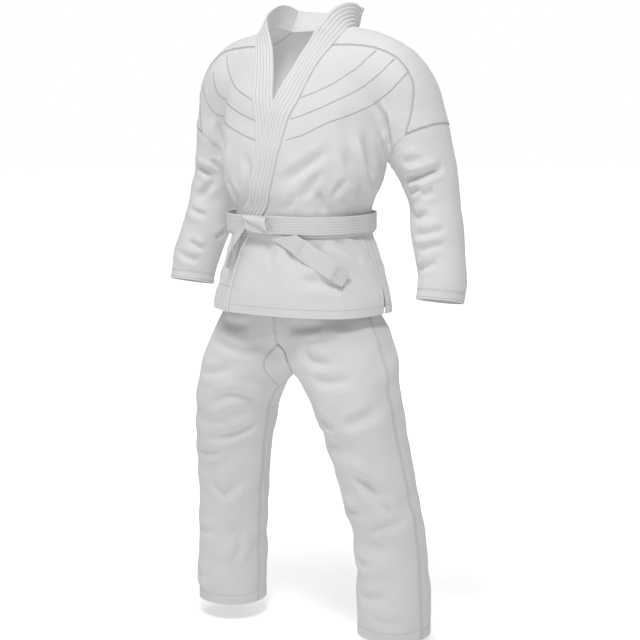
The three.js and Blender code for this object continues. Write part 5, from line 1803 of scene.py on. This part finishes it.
    def build_bar(self, place: dict) -> None:
        """A plain bar sewn round the right end, short of its tip."""
        part = {key: value[35:106] for key, value in place.items()}
        count = 64
        around = 2 * np.pi * np.arange(count) / count
        layers = []
        for extra in (1.9, 0.6):
            wide = part["width"] / 2 + extra * 0.6
            high = self.thick / 2 + extra * 0.6
            corner = np.abs(np.cos(around)) ** 0.35 * np.sign(np.cos(around))
            depth = np.abs(np.sin(around)) ** 0.35 * np.sign(np.sin(around))
            sideways = (corner[None] * wide[:, None])[..., None]
            ring = part["centre"][:, None] + part["across"][:, None] * sideways
            layers.append(ring + part["face"][:, None] * (depth * high)[None, :, None])
        run = np.concatenate([[0], np.cumsum(np.linalg.norm(np.diff(part["centre"], axis=0), axis=1))])
        seam = np.minimum(run, run[-1] - run)[:, None] + np.zeros((1, count)) + 0.8
        piece = ClothPiece("rank_bar", layers[0], layers[1], True, seam)
        dress(piece, ["belt_rank_bar"], BAR_CLOTH, (0.097, 0.103))
        face = part["face"]
        top = part["centre"] + face * (self.thick / 2 + 1.3)
        for inset in (4, len(face) - 5):
            t = np.linspace(-0.42, 0.42, 20)[:, None]
            line = top[inset] + part["across"][inset] * t * part["width"][inset]
            self.thread.add_row(line, np.broadcast_to(face[inset], line.shape))


@dataclass(frozen=True)
class Studio:
    """Pale floor, soft light and the camera at the photograph's angle."""

    azimuth: float = 35
    elevation: float = 8
    distance: float = 3.7
    lens: float = 84.4
    target: tuple = (0.0303, 0.0212, -0.246)

    def camera(self) -> None:
        """Sets the camera."""
        data = bpy.data.cameras.new("camera")
        data.lens = self.lens
        data.sensor_width = 36
        data.clip_end = 100
        obj = bpy.data.objects.new("camera", data)
        bpy.context.scene.collection.objects.link(obj)
        az, el = math.radians(self.azimuth), math.radians(self.elevation)
        away = Vector((math.sin(az) * math.cos(el), -math.cos(az) * math.cos(el), math.sin(el)))
        obj.location = Vector(self.target) + away * self.distance
        obj.rotation_euler = (-away).to_track_quat("-Z", "Y").to_euler()
        bpy.context.scene.camera = obj

    def floor(self) -> None:
        """A wide pale floor under the hems."""
        angles = np.linspace(0, 2 * np.pi, 64, endpoint=False)
        points = np.stack([30 * np.cos(angles), 30 * np.sin(angles), 0 * angles - ORIGIN_Z / 1000], axis=1)
        mesh = bpy.data.meshes.new("floor")
        mesh.from_pydata(points.tolist(), [], [list(range(64))])
        obj = bpy.data.objects.new("floor", mesh)
        bpy.context.scene.collection.objects.link(obj)
        made = bpy.data.materials.new("matt_white_floor")
        made.use_nodes = True
        shader = made.node_tree.nodes["Principled BSDF"]
        shader.inputs["Base Color"].default_value = to_linear("#f6f6f6")
        shader.inputs["Roughness"].default_value = 0.9
        shader.inputs["Emission Color"].default_value = (1, 1, 1, 1)
        place = add_node(made.node_tree, "ShaderNodeTexCoord").outputs["Object"]
        level = add_node(made.node_tree, "ShaderNodeMapping", {}, {"Vector": place, "Scale": (1, 1, 0)})
        far = add_node(made.node_tree, "ShaderNodeVectorMath", {"operation": "LENGTH"}, {0: level.outputs[0]})
        glow = add_node(
            made.node_tree,
            "ShaderNodeMapRange",
            {},
            {"Value": far.outputs["Value"], "From Min": 0.5, "From Max": 1.8, "To Min": 0.5, "To Max": 1.0},
        )
        path = add_node(made.node_tree, "ShaderNodeLightPath")
        seen = add_node(
            made.node_tree,
            "ShaderNodeMapRange",
            {},
            {"Value": path.outputs["Is Camera Ray"], "To Min": 0.3, "To Max": 1.0},
        )
        shown = add_node(
            made.node_tree,
            "ShaderNodeMath",
            {"operation": "MULTIPLY"},
            {0: glow.outputs[0], 1: seen.outputs[0]},
        )
        made.node_tree.links.new(shown.outputs[0], shader.inputs["Emission Strength"])
        obj.data.materials.append(made)

    def light(
        self, name: str, place: tuple, size: float, watts: float, towards: tuple = (0, 0, -0.1)
    ) -> None:
        """Adds a soft square light that looks at a place on the object."""
        data = bpy.data.lights.new(name, "AREA")
        data.size = size
        data.energy = watts
        obj = bpy.data.objects.new(name, data)
        bpy.context.scene.collection.objects.link(obj)
        obj.visible_camera = False
        obj.location = place
        obj.rotation_euler = (Vector(towards) - Vector(place)).to_track_quat("-Z", "Y").to_euler()

    def build(self) -> None:
        """Sets up floor, lights, sky and camera."""
        self.camera()
        self.floor()
        self.light("key_light", (1.2, -2.0, 3.4), 0.8, 74)
        self.light("top_light", (-0.6, -1.3, 2.9), 1.2, 16)
        self.light("fill_light", (-3.0, -2.4, 1.0), 2.4, 4.5)
        self.light("back_light", (-0.8, 3.6, 2.0), 2.4, 15)
        self.light("inner_light", (0.0, -0.04, 0.1), 0.16, 0.32, (0.0, 0.08, 0.4))
        world = bpy.data.worlds.new("studio")
        world.use_nodes = True
        tree = world.node_tree
        sky = tree.nodes["Background"]
        sky.inputs["Color"].default_value = (1, 1, 1, 1)
        path = add_node(tree, "ShaderNodeLightPath")
        strength = add_node(
            tree,
            "ShaderNodeMapRange",
            {},
            {"Value": path.outputs["Is Camera Ray"], "To Min": 0.32, "To Max": 1.0},
        )
        tree.links.new(strength.outputs[0], sky.inputs["Strength"])
        bpy.context.scene.world = world
        bpy.context.scene.view_settings.view_transform = "Standard"


def main() -> None:
    """Builds the gi from its sub-assemblies and reports each piece."""
    logging.basicConfig(level=logging.INFO, format="%(name)s %(message)s")
    Studio().build()
    jacket = Jacket()
    jacket.build()
    Collar(jacket).build()
    Trousers().build()
    Belt(jacket).build()


if __name__ == "__main__":
    main()
